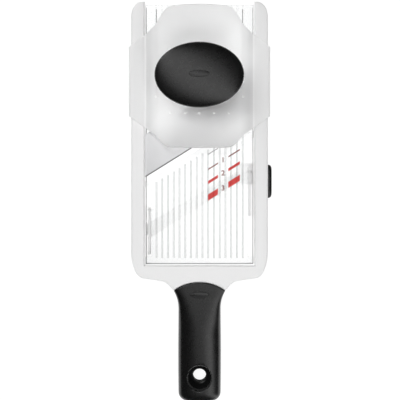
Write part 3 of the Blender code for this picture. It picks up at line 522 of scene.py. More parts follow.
def hard_black(name, look):
    return moulded(name, look.hard_black, 0.42, drift=0.2, grain=0.2)[0]


def steel(name, base, roughness, turn):
    """Ground steel, with its lines along one direction."""
    made, graph, shader = start_material(name)
    lines = effect(graph, "brushing", Roughness=roughness, Depth=1.0, Turn=turn)
    gloss = lines["Roughness"]
    tone = effect(graph, "drift", Colour=rgba(base), Drift=0.05, Roughness=gloss, Gloss_Drift=0.05)
    graph.join(tone["Colour"], shader.inputs["Base Color"])
    graph.join(tone["Roughness"], shader.inputs["Roughness"])
    shader.inputs["Metallic"].default_value = 1.0
    bump(graph, shader, lines["Height"], 0.05)
    return made, graph, shader, tone


def blade_steel(name, look):
    """Polished steel with a rougher ground strip along the cutting edge, painted dark as shade for the gap
    beside the edge.
    """
    made, graph, shader, tone = steel(name, look.steel, 0.16, -math.atan(BLADE_SLOPE))
    place = graph.place()
    along_edge = graph.math("MULTIPLY_ADD", place["X"], BLADE_SLOPE, BLADE_EDGE_Y)
    # Painted shade: a dark strip along the cutting edge, which is also rougher
    ground = graph.span(graph.math("SUBTRACT", place["Y"], along_edge), 1.3 * MM, 0.9 * MM)
    tint(graph, shader, ground, look.ground_edge)
    graph.join(graph.math("MULTIPLY_ADD", ground, 0.25, tone["Roughness"]), shader.inputs["Roughness"])
    return made


def ink(name, base):
    """Printed ink: slightly uneven cover and a soft gloss."""
    made, graph, shader = start_material(name)
    values = {"Drift": 0.25, "Roughness": 0.5, "Gloss_Drift": 0.1, "Scale": 220.0}
    tone = effect(graph, "drift", Colour=rgba(base), **values)
    graph.join(tone["Colour"], shader.inputs["Base Color"])
    graph.join(tone["Roughness"], shader.inputs["Roughness"])
    bump(graph, shader, effect(graph, "grain", Scale=3000.0, Depth=1.0)["Height"], 0.1)
    return made


MATERIALS = {
    "white_plastic": white_plastic,
    "frosted_plastic": lambda name, look: frosted_plastic(name, look, look.frosted)[0],
    "holder_plastic": holder_plastic,
    "slide_plastic": lambda name, look: frosted_plastic(name, look, look.slide)[0],
    "soft_black": soft_black,
    "recess_black": recess_black,
    "hard_black": hard_black,
    "pin_plastic": pin_plastic,
    "clear_ramp": lambda name, look: clear_plastic(name, look, look.ramp_tint),
    "clear_bed": lambda name, look: clear_plastic(name, look, look.bed_tint),
    "blade_steel": blade_steel,
    "screw_steel": lambda name, look: steel(name, look.screw_steel, 0.30, 0.4)[0],
    "red_ink": lambda name, look: ink(name, look.red_ink),
    "brown_ink": lambda name, look: ink(name, look.brown_ink),
    "grey_ink": lambda name, look: ink(name, look.grey_ink),
}


def material(name):
    """The named finish, made the first time it is asked for."""
    label = f"{name}_finish"
    return bpy.data.materials.get(label) or MATERIALS[name](label, bpy.context.scene.slicer_finishes)


# ---------------------------------------------------------------- mesh tools


def put(name, data):
    """A new object in the scene that holds the given data."""
    made = bpy.data.objects.new(name, data)
    bpy.context.scene.collection.objects.link(made)
    return made


def to_mesh(name, shape):
    """A mesh from a bmesh, which is freed."""
    mesh = bpy.data.meshes.new(name)
    shape.to_mesh(mesh)
    shape.free()
    return mesh


def to_object(name, shape, finish):
    """A new object from a bmesh, smooth except at its sharp edges."""
    bmesh.ops.recalc_face_normals(shape, faces=shape.faces)
    mesh = to_mesh(name, shape)
    if "custom_normal" in mesh.attributes:
        mesh.attributes.remove(mesh.attributes["custom_normal"])
    mesh.shade_smooth()
    mesh.set_sharp_from_angle(angle=math.radians(SHARP_ANGLE))
    mesh.materials.clear()
    mesh.materials.append(material(finish))
    return put(name, mesh)


def attach(piece, node, stands_for=()):
    """The piece moves with a CAD node's body, and replaces the nodes it stands for."""
    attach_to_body(piece, frame["nodes"][node]["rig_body"])
    if stands_for:
        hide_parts(*stands_for)
    return piece


def soften(piece, width, segments=2, angle=32):
    bevel = piece.modifiers.new("soft_edges", "BEVEL")
    bevel.width = width
    bevel.segments = segments
    bevel.limit_method = "ANGLE"
    bevel.angle_limit = math.radians(angle)
    bevel.harden_normals = True
    return piece


def refined(node, width, angle=32, finish=None):
    """A finer copy of a CAD node: joined faces, softened edges and smooth round sides."""
    shape = bmesh.new()
    shape.from_mesh(frame["nodes"][node].data)
    bmesh.ops.remove_doubles(shape, verts=shape.verts, dist=0.002 * MM)
    bmesh.ops.dissolve_limit(shape, angle_limit=math.radians(0.6), verts=shape.verts, edges=shape.edges)
    piece = to_object(f"{node}_fine", shape, finish or SLOTS[node])
    soften(piece, width, angle=angle)
    return attach(piece, node, (node,))


def bridge(shape, rings, closed=True):
    """Joins rings of points with quads, and gives the rings' vertices."""
    made = [[shape.verts.new(point) for point in ring] for ring in rings]
    for low, high in zip(made, made[1:]):
        count = len(low)
        for step in range(count if closed else count - 1):
            following = (step + 1) % count
            shape.faces.new((low[step], low[following], high[following], high[step]))
    return made


def spun(profile, centre, around, radii=(1.0, 1.0)):
    """A profile of (radius, height) points turned about an upright axis, its ends closed on the axis."""
    shape = bmesh.new()
    rings = []
    for radius, z in profile:
        turns = [2 * math.pi * step / around for step in range(around)]
        rings.append(
            [
                (
                    centre[0] + radii[0] * radius * math.cos(turn),
                    centre[1] + radii[1] * radius * math.sin(turn),
                    z,
                )
                for turn in turns
            ]
        )
    made = bridge(shape, rings)
    for ring in (made[0], made[-1]):
        shape.faces.new(ring)
    return shape


def sleeve(profile, centre, around):
    """A closed ring of (radius, height) points turned about an upright axis."""
    shape = bmesh.new()
    turns = [2 * math.pi * step / around for step in range(around)]
    rings = [
        [(centre[0] + radius * math.cos(turn), centre[1] + radius * math.sin(turn), z) for turn in turns]
        for radius, z in (*profile, profile[0])
    ]
    bridge(shape, rings)
    bmesh.ops.remove_doubles(shape, verts=shape.verts, dist=0.001 * MM)
    return shape


def carve(piece, shape):
    """Cuts a closed bmesh out of a piece, and applies the cut."""
    cutter = put("cutter", to_mesh("cutter", shape))
    cut = piece.modifiers.new("cut", "BOOLEAN")
    cut.object = cutter
    cut.solver = "EXACT"
    bpy.context.view_layer.update()
    carved = bpy.data.meshes.new_from_object(piece.evaluated_get(bpy.context.evaluated_depsgraph_get()))
    piece.modifiers.clear()
    piece.data = carved
    bpy.data.objects.remove(cutter)
    carved.shade_smooth()
    carved.set_sharp_from_angle(angle=math.radians(SHARP_ANGLE))


def superellipse(radii, power, around):
    """Points around a rounded rectangle, anticlockwise from +X."""
    points = []
    for step in range(around):
        turn = 2 * math.pi * step / around
        across, up = math.cos(turn), math.sin(turn)
        reach = (abs(across) ** power + abs(up) ** power) ** (-1 / power)
        points.append((radii[0] * reach * across, radii[1] * reach * up))
    return points


def fillet(centre_radius, centre_height, radius, start, end, steps=5):
    """Points of a quarter round in a profile, from one angle to another in degrees."""
    turns = [math.radians(start + (end - start) * step / steps) for step in range(steps + 1)]
    return [
        (centre_radius + radius * math.cos(turn), centre_height + radius * math.sin(turn)) for turn in turns
    ]


# ---------------------------------------------------------------- housing


def build_housing(shapes):
    refined("frame", 0.35 * MM, angle=40)
    refined("base_cover", shapes.soft_edge)
    for name in SIDES:
        refined(f"blade_clamp_{name}", shapes.soft_edge)


def build_feet():
    for end in ("far", "near"):
        for name in SIDES:
            node = f"{end}_foot_{name}"
            low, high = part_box(node)
            radius = (high.x - low.x) / 2
            profile = [(0.01 * MM, high.z), (radius * 0.86, high.z), (radius, high.z - 0.5 * MM)]
            profile += fillet(radius - 0.6 * MM, low.z + 0.6 * MM, 0.6 * MM, 0, -90)
            hollow = low.z + 0.25 * MM
            profile += [(radius * 0.45, low.z), (radius * 0.40, hollow), (0.01 * MM, hollow)]
            centre = ((low.x + high.x) / 2, (low.y + high.y) / 2)
            foot = to_object(f"{node}_pad", spun(profile, centre, 48), "soft_black")
            attach(foot, node, (node,))


def cross_recess(depth, reach):
    """A tapered cross, open downwards, to cut a driver recess into a screw's head."""
    rings = []
    for z, long, wide in ((-0.4 * MM, reach, 0.50 * MM), (depth, reach * 0.55, 0.32 * MM)):
        arm = [(long, -wide), (long, wide), (wide, wide)]
        spins = [Matrix.Rotation(math.pi / 2 * quarter, 2) for quarter in range(4)]
        rings.append([(*(spin @ Vector(corner)), z) for spin in spins for corner in arm])
    shape = bmesh.new()
    made = bridge(shape, rings)
    shape.faces.new(made[0])
    shape.faces.new(list(reversed(made[1])))
    bmesh.ops.recalc_face_normals(shape, faces=shape.faces)
    return shape


def build_screw(node, radius=1.2 * MM, sideways=False):
    """A screw with a domed, cross-recessed head and thread rings; its head faces down, or to -X."""
    low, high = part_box(node)
    reach = high - low
    head, tall = (reach.z / 2, reach.x) if sideways else (reach.x / 2, reach.z)
    head_high = 1.4 * MM
    profile = [(0.01 * MM, 0), (head * 0.55, 0), (head * 0.85, 0.25 * MM), (head, 0.7 * MM)]
    profile += [(head, head_high), (radius, head_high)]
    turns = int((tall - head_high - 1.6 * MM) / (0.8 * MM))
    for turn in range(turns):
        start = head_high + 0.4 * MM + turn * 0.8 * MM
        profile += [(radius * 0.82, start), (radius, start + 0.35 * MM), (radius * 0.82, start + 0.7 * MM)]
    profile.append((0.01 * MM, tall))
    piece = to_object(f"{node}_detail", spun(profile, (0, 0), 32), "screw_steel")
    carve(piece, cross_recess(0.8 * MM, head * 0.55))
    centre = (low + high) / 2
    turned = Matrix.Rotation(math.pi / 2, 4, "Y") if sideways else Matrix.Identity(4)
    place = Vector((low.x, centre.y, centre.z)) if sideways else Vector((centre.x, centre.y, low.z))
    piece.data.transform(Matrix.Translation(place) @ turned)
    return attach(piece, node, (node,))


def build_screws():
    for name in SIDES:
        for number in (1, 2, 3):
            build_screw(f"base_screw_{name}_{number}")
        build_screw(f"blade_screw_{name}")
        build_screw(f"palm_knob_screw_{name}")
    build_screw("side_knob_screw", 1.0 * MM, sideways=True)


# ---------------------------------------------------------------- grip


def neck_half_width(y):
    rise = min(1.0, max(0.0, (y - NECK_CENTRE[1]) / NECK_RADII[1]))
    return NECK_CENTRE[0] - NECK_RADII[0] * math.sqrt(1.0 - rise**2)


def grip_section(y):
    """Half-width, half-height and squareness of the grip at one place along it."""
    end = max(0.0, y - GRIP_LOW.y)
    swell = GRIP_HALF_WIDTH + 0.35 * MM * math.sin(math.pi * min(1.0, end / (90 * MM)))
    width = max(swell, neck_half_width(y)) if y > NECK_CENTRE[1] else swell
    height = (GRIP_HIGH.z - GRIP_LOW.z) / 2
    if end < GRIP_CORNER:
        lost = 1 - math.sqrt(max(0.0, 1 - (1 - end / GRIP_CORNER) ** 2))
        width -= GRIP_CORNER * lost
        height -= 0.55 * GRIP_CORNER * lost
    squarer = min(1.0, max(0.0, (y + 128 * MM) / (40 * MM)))
    return width, height, 2.7 + 5.3 * squarer**2


def arc_end(x):
    """Where the grip meets the frame: a shallow arc."""
    return GRIP_HIGH.y - GRIP_ARC_RADIUS + math.sqrt(GRIP_ARC_RADIUS**2 - x**2)


def grip_ring(part, inset, around):
    """One ring of the grip, each point set back from the arc end by the same share of its length."""
    middle = (GRIP_LOW.z + GRIP_HIGH.z) / 2
    ring = []
    for step in range(around):
        y = GRIP_LOW.y + (GRIP_HIGH.y - GRIP_LOW.y) * part
        for _ in range(12):
            width, height, power = grip_section(y)
            x, z = superellipse((width - inset, height - inset), power, around)[step]
            y = GRIP_LOW.y + (arc_end(x) - GRIP_LOW.y) * part
        ring.append((x, y, middle + z))
    return ring


def build_grip(shapes):
    around, stations = 120, 56
    rim = shapes.rim_round
    whole = GRIP_HIGH.y - GRIP_LOW.y
    shares = [(1 - math.cos(math.pi * step / stations)) / 2 for step in range(stations + 1)]
    shares = [rim / whole + part * (1 - 2 * rim / whole) for part in shares]
    quarter = [math.radians(90 * step / 4) for step in range(4)]
    rings = [(rim * (1 - math.cos(turn)) / whole, rim * (1 - math.sin(turn))) for turn in quarter]
    rings += [(part, 0.0) for part in shares]
    rings += [(1 - part, inset) for part, inset in reversed(rings[:4])]
    shape = bmesh.new()
    made = bridge(shape, [grip_ring(part, inset, around) for part, inset in rings])
    shape.faces.new(made[0])
    shape.faces.new(list(reversed(made[-1])))
    grip = to_object("soft_grip", shape, "soft_black")
    top, low = GRIP_HIGH.z, GRIP_LOW.z
    profile = [(0.01 * MM, top + 5 * MM), (15.0 * MM, top + 5 * MM), (15.0 * MM, top + 0.02 * MM)]
    profile += fillet(FUNNEL_RADIUS + 1.2 * MM, top - 1.2 * MM, 1.2 * MM, 90, 180)
    profile += fillet(LEDGE_RADIUS + 0.4 * MM, top - 9.4 * MM, 0.4 * MM, 90, 180, 3)
    profile += [(WAIST_RADIUS + 0.3 * MM, top - 9.9 * MM), (WAIST_RADIUS, top - 10.2 * MM)]
    profile += [(WAIST_RADIUS, WAIST_LOW), (9.2 * MM, low + 1.0 * MM), (10.2 * MM, low - 0.02 * MM)]
    profile += [(10.2 * MM, low - 3 * MM), (0.01 * MM, low - 3 * MM)]
    carve(grip, spun(list(reversed(profile)), HANG_HOLE, 96))
    attach(grip, "grip", ("grip",))
    build_hole_lining(top)


def build_hole_lining(top):
    """A thin matt sleeve on the hanging hole's wall, its hidden side inside the grip, which darkens the wall
    as painted shade.
    """
    seen = [(12.25, 1.6), (8.5, 8.9), (7.9, 9.5), (6.5, 10.2), (6.5, 17.3)]
    hidden = [(7.2, 16.6), (7.4, 11.0), (9.6, 9.4), (12.9, 2.2)]
    points = [(radius * MM, top - drop * MM) for radius, drop in seen + hidden]
    lining = to_object("hole_lining", sleeve(points, HANG_HOLE, 96), "recess_black")
    attach(lining, "grip", ())


# ---------------------------------------------------------------- badges


def palm_dome(part):
    """Height of the palm knob's top at a share of the way from its middle to its outer edge."""
    turn = math.asin(min(1.0, part) ** (1 / 0.92))
    return PALM_TOP - PALM_RISE * (1 - math.cos(turn) ** 0.9)


def palm_surface(x, y):
    return palm_dome(math.hypot(x / PALM_RADII[0], (y - HOLDER_Y) / PALM_RADII[1]))


def grip_surface(x, y):
    return GRIP_HIGH.z - 0.05 * MM


def build_badge(name, centre, surface, shapes, node):
    """A blank oval badge that follows a surface: a fine raised rim round a slightly hollow field."""
    long, wide = shapes.badge_length / 2, shapes.badge_width / 2
    rim = ((0.0, -0.6), (0.0, 0.12), (0.2, 0.30), (0.45, 0.30), (0.70, 0.02), (1.10, 0.02), (1.90, 0.14))
    shape = bmesh.new()
    rings = []
    for inset, rise in rim:
        outline = superellipse((long - inset * MM, wide - inset * MM), 2.2, shapes.around)
        places = [(centre[0] + x, centre[1] + y) for x, y in outline]
        rings.append([(x, y, surface(x, y) + rise * MM) for x, y in places])
    made = bridge(shape, rings)
    shape.faces.new(made[0])
    shape.faces.new(list(reversed(made[-1])))
    return attach(to_object(name, shape, "soft_black"), node, ())


def build_badges(shapes):
    build_badge("grip_badge", (0.0, GRIP_HIGH.y - 11.6 * MM), grip_surface, shapes, "grip")
    build_badge("palm_badge", (0.0, HOLDER_Y), palm_surface, shapes, "palm_knob_cover")


# ---------------------------------------------------------------- bed, blade, ramp and slide


def build_clear_plates(shapes):
    refined("bed", shapes.thin_edge, finish="clear_bed")
    refined("ramp", shapes.thin_edge, finish="clear_ramp")


def build_blade():
    refined("blade", 0.06 * MM)
    refined("detent_spring", 0.06 * MM)


def build_slide(shapes):
    refined("setting_slide", shapes.thin_edge, finish="slide_plastic")


def ramp_surface(x):
    """Height of the ramp's upper side across it: the plate, and the leaning sides and tops of its ribs."""
    from_rib = abs((x / RIB_PITCH) % 1.0 - 0.5) * RIB_PITCH
    rib = RAMP_RIB_TOP - (from_rib - RIB_TOP_WIDTH / 2) / RIB_DRAFT
    return min(RAMP_RIB_TOP, max(RAMP_PLATE_TOP, rib))


def mark(name, x_from, x_to, centre, thick, finish):
    """One printed line parallel to the blade, which follows the ramp's ribs and plate."""
    half = thick / 2 / math.cos(math.atan(BLADE_SLOPE))
    middle = (x_from + x_to) / 2
    steps = 60
    rings = []
    for step in range(steps + 1):
        x = x_from + (x_to - x_from) * step / steps
        y = centre + BLADE_SLOPE * (x - middle)
        low = ramp_surface(x) + 0.02 * MM
        high = low + INK_THICK
        rings.append([(x, y - half, low), (x, y + half, low), (x, y + half, high), (x, y - half, high)])
    shape = bmesh.new()
    made = bridge(shape, rings)
    shape.faces.new(made[0])
    shape.faces.new(made[-1])
    return attach(to_object(name, shape, finish), "ramp")


def digit(text, centre, height):
    """A printed digit on the ramp's plate, to be read from above."""
    curve = bpy.data.curves.new(f"digit_{text}", "FONT")
    curve.body = text
    curve.size = height / 0.7
    curve.align_x = "CENTER"
    curve.align_y = "CENTER"
    curve.extrude = INK_THICK / 2
    curve.offset = 0.16 * MM
    source = put("digit_curve", curve)
    bpy.context.view_layer.update()
    mesh = bpy.data.meshes.new_from_object(source.evaluated_get(bpy.context.evaluated_depsgraph_get()))
    bpy.data.objects.remove(source)
    mesh.transform(Matrix.Translation((*centre, RAMP_PLATE_TOP + 0.02 * MM + INK_THICK / 2)))
    mesh.materials.clear()
    mesh.materials.append(material("brown_ink"))
    return attach(put(f"setting_digit_{text}", mesh), "ramp")


def build_marks(shapes):
    left, right, digit_x = (8.4 * MM, 18.4 * MM), (28.6 * MM, 40.2 * MM), 23.4 * MM
    between = BLADE_SLOPE * (sum(right) - sum(left)) / 2
    mark("lock_mark", *left, 50.6 * MM, 0.7 * MM, "grey_ink")
    lines = (
        (35.6 * MM, 1.2 * MM, "brown_ink"),
        (22.5 * MM, 2.6 * MM, "red_ink"),
        (7.5 * MM, 5.2 * MM, "red_ink"),
    )
    for number, (centre, thick, finish) in enumerate(lines, 1):
        mark(f"setting_{number}_left", *left, centre, thick, finish)
        mark(f"setting_{number}_right", *right, centre + between, thick, finish)
        middle = centre + BLADE_SLOPE * (digit_x - sum(left) / 2)
        digit(str(number), (digit_x, middle), shapes.digit_height)


# ---------------------------------------------------------------- side knob


def build_side_knob(shapes):
    """A soft D-shaped pad, rounded towards its outer face, over its hard core."""
    refined("side_knob_core", shapes.soft_edge)
    middle_y, middle_z = (CAP_LOW.y + CAP_HIGH.y) / 2, (CAP_LOW.z + CAP_HIGH.z) / 2
    half_y, half_z = (CAP_HIGH.y - CAP_LOW.y) / 2, (CAP_HIGH.z - CAP_LOW.z) / 2
    depth = CAP_HIGH.x - CAP_LOW.x
    round_y, round_z = 4.2 * MM, 1.6 * MM
    layers = 14

    def ring(x, radii, power):
        return [(x, middle_y + y, middle_z + z) for y, z in superellipse(radii, power, 96)]

    rings = []
    for layer in range(layers + 1):
        turn = math.radians(90 * layer / layers)
        lost_y = round_y * (1 - math.cos(turn) ** 0.9) if layer < layers else round_y
        lost_z = round_z * (1 - math.cos(turn)) if layer < layers else round_z
        x = CAP_LOW.x + depth * math.sin(turn) ** 0.75
        rings.append(ring(x, (half_y - lost_y, half_z - lost_z), 6.0))
    for part in (0.85, 0.6, 0.3):
        rings.append(ring(CAP_HIGH.x, ((half_y - round_y) * part, (half_z - round_z) * part), 5.0))
    shape = bmesh.new()
    made = bridge(shape, rings)
    shape.faces.new(made[0])
    shape.faces.new(list(reversed(made[-1])))
    cap = to_object("side_knob_pad", shape, "soft_black")
    attach(cap, "side_knob_cap", ("side_knob_cap",))


# ---------------------------------------------------------------- food holder


GUARD_CORNERS = (
    (0.0, 65.6 * MM),
    (27.0 * MM, 65.0 * MM),
    (31.5 * MM, 63.9 * MM),
    (34.5 * MM, 61.4 * MM),
    (42.5 * MM, 52.2 * MM),
    (53.2 * MM, 44.6 * MM),
    (68.6 * MM, 33.2 * MM),
)


def guard_half_length(x):
    """Half the holder's length at a distance from its middle line."""
    distance = min(abs(x), GUARD_CORNERS[-1][0])
    for (x_from, from_length), (x_to, to_length) in zip(GUARD_CORNERS, GUARD_CORNERS[1:]):
        if distance <= x_to:
            part = (distance - x_from) / (x_to - x_from)
            return from_length + (to_length - from_length) * part
    return GUARD_CORNERS[-1][1]


def guard_height(x, along):
    """Top of the sheet: low between the rails in the middle, and swept up at both ends."""
    if abs(x) >= OPENING_HALF_WIDTH:
        return WING_TOP
    centre = SADDLE_LOW + SADDLE_CURVE * along**2
    return WING_TOP + (centre - WING_TOP) * (1 - abs(x / OPENING_HALF_WIDTH) ** SADDLE_POWER)


def eased(rule, x, reach, steps=6):
    """A rule's mean over a short reach on both sides of x, which rounds its corners."""
    places = [x + reach * (2 * step / steps - 1) for step in range(steps + 1)]
    return sum(rule(place) for place in places) / len(places)


def guard_columns():
    """Places across the sheet from its middle to a skirt's lower edge, as (x, height or None)."""
    outer, turn_radius, spacing = GUARD_HIGH.x, 2.2 * MM, 1.5 * MM
    flat_end = outer - turn_radius - 0.1 * MM
    columns = [(spacing * step, None) for step in range(int(flat_end / spacing) + 1)]
    for step in range(7):
        turn = math.radians(90 * step / 6)
        x = outer - turn_radius + turn_radius * math.sin(turn)
        columns.append((x, WING_TOP - turn_radius + turn_radius * math.cos(turn)))
    skirt_bottom = 19.0 * MM
    columns += [(outer, WING_TOP - turn_radius - 2.4 * MM), (outer, skirt_bottom)]
    return [(-x, z) for x, z in reversed(columns[1:])] + columns


def build_guard():
    rows = 72
    shape = bmesh.new()
    lines = []
    for x, height in guard_columns():
        half = eased(guard_half_length, x, 1.4 * MM)
        half = min(half, GUARD_HIGH.y - HOLDER_Y)
        line = []
        for row in range(rows + 1):
            along = half * (2 * row / rows - 1)
            top = eased(lambda place: guard_height(place, along), x, 1.0 * MM) if height is None else height
            line.append((x, HOLDER_Y + along, top))
        lines.append(line)
    bridge(shape, lines, closed=False)
    mesh = to_mesh("guard_sheet", shape)
    if mesh.polygons[len(mesh.polygons) // 2].normal.z < 0:
        mesh.flip_normals()
    mesh.shade_smooth()
    mesh.materials.append(material("holder_plastic"))
    guard = put("guard_sheet", mesh)
    wall = guard.modifiers.new("wall", "SOLIDIFY")
    wall.thickness = GUARD_THICK
    wall.offset = -1
    wall.use_even_offset = True
    soften(guard, 0.5 * MM, 3, 50)
    attach(guard, "holder_guard", ("holder_guard",))


def pin_profile(root, tip):
    """A pointed pin whose root stands as a small dome on the sheet."""
    profile = [(0.01 * MM, root + 0.35 * MM), (0.7 * MM, root + 0.28 * MM), (1.2 * MM, root - 0.02 * MM)]
    profile += [(1.5 * MM, root - GUARD_THICK), (1.3 * MM, root - GUARD_THICK - 0.3 * MM)]
    return profile + [(0.5 * MM, tip + 0.15 * MM), (0.25 * MM, tip), (0.01 * MM, tip)]


def build_pins():
    shape = bmesh.new()
    for y in PIN_ROWS:
        reach = 3 if abs(y) < 20 * MM else 2
        for column in range(-reach, reach + 1):
            if y == 0.0 and abs(column) < 2:
                continue
            x = column * PIN_PITCH
            pin = spun(pin_profile(guard_height(x, y), PIN_TIP), (x, HOLDER_Y + y), 20)
            mesh = to_mesh("pin", pin)
            shape.from_mesh(mesh)
            bpy.data.meshes.remove(mesh)
    attach(to_object("guard_pins", shape, "pin_plastic"), "holder_guard", ())


def build_palm_knob(shapes):
    """The oval palm knob: a frosted stem and a soft domed cover with a rolled lower lip."""
    wide = PALM_RADII[0]
    top, low = COVER_HIGH.z, COVER_LOW.z
    shares = [max(0.001, math.sin(math.radians(90 * step / 24)) ** 0.92) for step in range(25)]
    profile = [(wide * part, palm_dome(part)) for part in shares]
    lip = [(0.998, 7.0), (0.985, 8.0), (0.965, 9.0), (0.935, 10.0), (0.89, 11.0), (0.83, 11.8), (0.77, 12.0)]
    profile += [(wide * part, top - drop * MM) for part, drop in lip]
    profile += [(wide * 0.715, low + 0.5 * MM), (wide * 0.695, low + 1.4 * MM)]
    profile += [(wide * 0.69, top - 5.9 * MM), (wide * 0.44, top - 4.5 * MM), (0.01 * MM, top - 4.2 * MM)]
    scale = (1.0, PALM_RADII[1] / wide)
    cover = to_object("palm_pad", spun(profile, (0.0, HOLDER_Y), shapes.around, scale), "soft_black")
    attach(cover, "palm_knob_cover", ("palm_knob_cover",))
    refined("palm_knob_stem", shapes.soft_edge)


# ---------------------------------------------------------------- stage


def build_world(stage):
    """Room light: a long soft band overhead from upper left to lower right, and a plain backdrop."""
    world = bpy.data.worlds.new("studio")
    world.use_nodes = True
    graph = Graph(world.node_tree)
    way = graph.add("TexCoord").outputs["Generated"]
    across = graph.add("VectorMath", {"operation": "DOT_PRODUCT"}, (way, BAND_ACROSS)).outputs["Value"]
    near = graph.span(across, -0.25, 0.10, smooth=True)
    far = graph.span(across, 0.32, 0.14, smooth=True)
    glow = graph.span(graph.math("MULTIPLY", near, far), 0.0, 1.0, stage.side_glow, stage.band_glow)
    seen = graph.add("LightPath").outputs["Is Camera Ray"]
    strength = graph.span(seen, 0.0, 1.0, glow, stage.backdrop)
    background = world.node_tree.nodes["Background"]
    background.inputs["Color"].default_value = rgba(WHITE)
    graph.join(strength, background.inputs["Strength"])
    bpy.context.scene.world = world


def build_stage(stage):
    shape = bmesh.new()
    bmesh.ops.create_grid(shape, x_segments=8, y_segments=8, size=4.0)
    mesh = to_mesh("floor", shape)
    floor = put("floor", mesh)
    floor.location.z = -0.05 * MM
    made, graph, shader = start_material("pale_floor")
    grey = (0.16, 0.16, 0.16, 1.0)
    tone = effect(graph, "drift", Colour=grey, Drift=0.01, Roughness=0.8, Gloss_Drift=0.02)
    graph.join(tone["Colour"], shader.inputs["Base Color"])
    graph.join(tone["Roughness"], shader.inputs["Roughness"])
    shader.inputs["Emission Color"].default_value = rgba(WHITE)
    shader.inputs["Emission Strength"].default_value = stage.floor_glow
    mesh.materials.append(made)

    build_world(stage)
    middle = Vector((0.0, 0.0, 20 * MM))
    lamps = (
        ("key_light", Vector((-0.75, 0.55, 1.00)), 0.90, stage.key_power),
        ("fill_light", Vector((-0.05, 0.10, 1.50)), 1.20, stage.fill_power),
        ("near_light", Vector((0.20, -0.85, 0.80)), 0.80, stage.near_power),
    )
    for name, place, size, power in lamps:
        light = bpy.data.lights.new(name, "AREA")
        light.size = size
        light.energy = power
        lamp = put(name, light)
        lamp.location = place
        lamp.rotation_euler = (middle - place).to_track_quat("-Z", "Y").to_euler()
        lamp.visible_glossy = False

    lens = bpy.data.cameras.new("camera")
    lens.lens = stage.lens
    lens.shift_x = stage.shift
    lens.clip_start = 10 * MM
    camera = put("camera", lens)
    camera.location = (stage.camera_x, stage.camera_y, stage.camera_height)
    bpy.context.scene.camera = camera
    bpy.context.scene.view_settings.view_transform = "Standard"


# ---------------------------------------------------------------- operators and panel


class SLICER_OT_stage(bpy.types.Operator):
    """Build the floor, the lights and the camera"""

    bl_idname = "slicer.stage"
    bl_label = "Stage"

    def execute(self, context):
        build_stage(context.scene.slicer_stage)
        return {"FINISHED"}


class SLICER_OT_housing(bpy.types.Operator):
    """Refine the frame, the base cover and the blade clamps"""

    bl_idname = "slicer.housing"
    bl_label = "Housing"

    def execute(self, context):
        build_housing(context.scene.slicer_shapes)
        return {"FINISHED"}


class SLICER_OT_feet(bpy.types.Operator):
    """Build the four soft feet"""

    bl_idname = "slicer.feet"
    bl_label = "Feet"

    def execute(self, context):
        build_feet()
        return {"FINISHED"}


class SLICER_OT_screws(bpy.types.Operator):
    """Build the screws with their driver recesses and threads"""

    bl_idname = "slicer.screws"
    bl_label = "Screws"

    def execute(self, context):
        build_screws()
        return {"FINISHED"}


class SLICER_OT_grip(bpy.types.Operator):
    """Build the soft grip with its hanging hole"""

    bl_idname = "slicer.grip"
    bl_label = "Grip"

    def execute(self, context):
        build_grip(context.scene.slicer_shapes)
        return {"FINISHED"}


class SLICER_OT_clear_plates(bpy.types.Operator):
    """Refine the clear bed and ramp"""

    bl_idname = "slicer.clear_plates"
    bl_label = "Bed and ramp"

    def execute(self, context):
        build_clear_plates(context.scene.slicer_shapes)
        return {"FINISHED"}


class SLICER_OT_blade(bpy.types.Operator):
    """Refine the steel blade and the detent spring"""

    bl_idname = "slicer.blade"
    bl_label = "Blade and spring"

    def execute(self, context):
        build_blade()
        return {"FINISHED"}


class SLICER_OT_slide(bpy.types.Operator):
    """Refine the frosted setting slide"""

    bl_idname = "slicer.slide"
    bl_label = "Setting slide"

    def execute(self, context):
        build_slide(context.scene.slicer_shapes)
        return {"FINISHED"}


class SLICER_OT_marks(bpy.types.Operator):
    """Print the setting lines and digits on the ramp"""

    bl_idname = "slicer.marks"
    bl_label = "Setting marks"

    def execute(self, context):
        build_marks(context.scene.slicer_shapes)
        return {"FINISHED"}


class SLICER_OT_side_knob(bpy.types.Operator):
    """Build the soft side knob and refine its core"""

    bl_idname = "slicer.side_knob"
    bl_label = "Side knob"

    def execute(self, context):
        build_side_knob(context.scene.slicer_shapes)
        return {"FINISHED"}


class SLICER_OT_guard(bpy.types.Operator):
    """Build the saddle-shaped sheet of the food holder"""

    bl_idname = "slicer.guard"
    bl_label = "Food holder"

    def execute(self, context):
        build_guard()
        return {"FINISHED"}


class SLICER_OT_pins(bpy.types.Operator):
    """Build the rows of pins under the food holder"""

    bl_idname = "slicer.pins"
    bl_label = "Holder pins"

    def execute(self, context):
        build_pins()
        return {"FINISHED"}


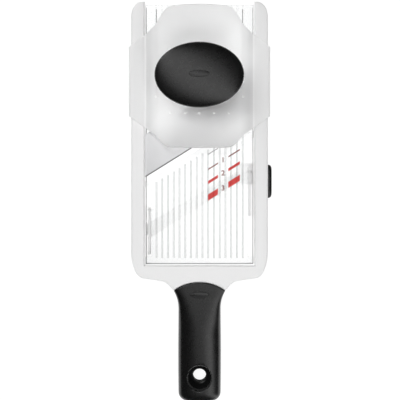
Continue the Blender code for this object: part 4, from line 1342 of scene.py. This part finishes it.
class SLICER_OT_palm_knob(bpy.types.Operator):
    """Build the oval palm knob and refine its stem"""

    bl_idname = "slicer.palm_knob"
    bl_label = "Palm knob"

    def execute(self, context):
        build_palm_knob(context.scene.slicer_shapes)
        return {"FINISHED"}


class SLICER_OT_badges(bpy.types.Operator):
    """Build the blank oval badges of grip and palm knob"""

    bl_idname = "slicer.badges"
    bl_label = "Blank badges"

    def execute(self, context):
        build_badges(context.scene.slicer_shapes)
        return {"FINISHED"}


OPERATORS = (
    SLICER_OT_stage,
    SLICER_OT_housing,
    SLICER_OT_feet,
    SLICER_OT_screws,
    SLICER_OT_grip,
    SLICER_OT_clear_plates,
    SLICER_OT_blade,
    SLICER_OT_slide,
    SLICER_OT_marks,
    SLICER_OT_side_knob,
    SLICER_OT_guard,
    SLICER_OT_pins,
    SLICER_OT_palm_knob,
    SLICER_OT_badges,
)


class SLICER_PT_panel(bpy.types.Panel):
    """Settings and building steps of the slicer, in the sidebar"""

    bl_label = "Mandoline slicer"
    bl_space_type = "VIEW_3D"
    bl_region_type = "UI"
    bl_category = "Slicer"

    def draw(self, context):
        layout = self.layout
        for settings in ("slicer_finishes", "slicer_shapes", "slicer_stage"):
            values = getattr(context.scene, settings)
            box = layout.box()
            for name in values.__annotations__:
                box.prop(values, name)
        for operator in OPERATORS:
            layout.operator(operator.bl_idname)


SETTINGS = {
    "slicer_finishes": SlicerFinishes,
    "slicer_shapes": SlicerShapes,
    "slicer_stage": SlicerStage,
}


def register():
    for each in (*SETTINGS.values(), *OPERATORS, SLICER_PT_panel):
        bpy.utils.register_class(each)
    for name, kind in SETTINGS.items():
        setattr(bpy.types.Scene, name, PointerProperty(type=kind))


def unregister():
    for name in SETTINGS:
        delattr(bpy.types.Scene, name)
    for each in (SLICER_PT_panel, *reversed(OPERATORS), *SETTINGS.values()):
        bpy.utils.unregister_class(each)


def main():
    register()
    for operator in OPERATORS:
        getattr(bpy.ops.slicer, operator.bl_idname.split(".")[1])()


if __name__ == "__main__":
    main()
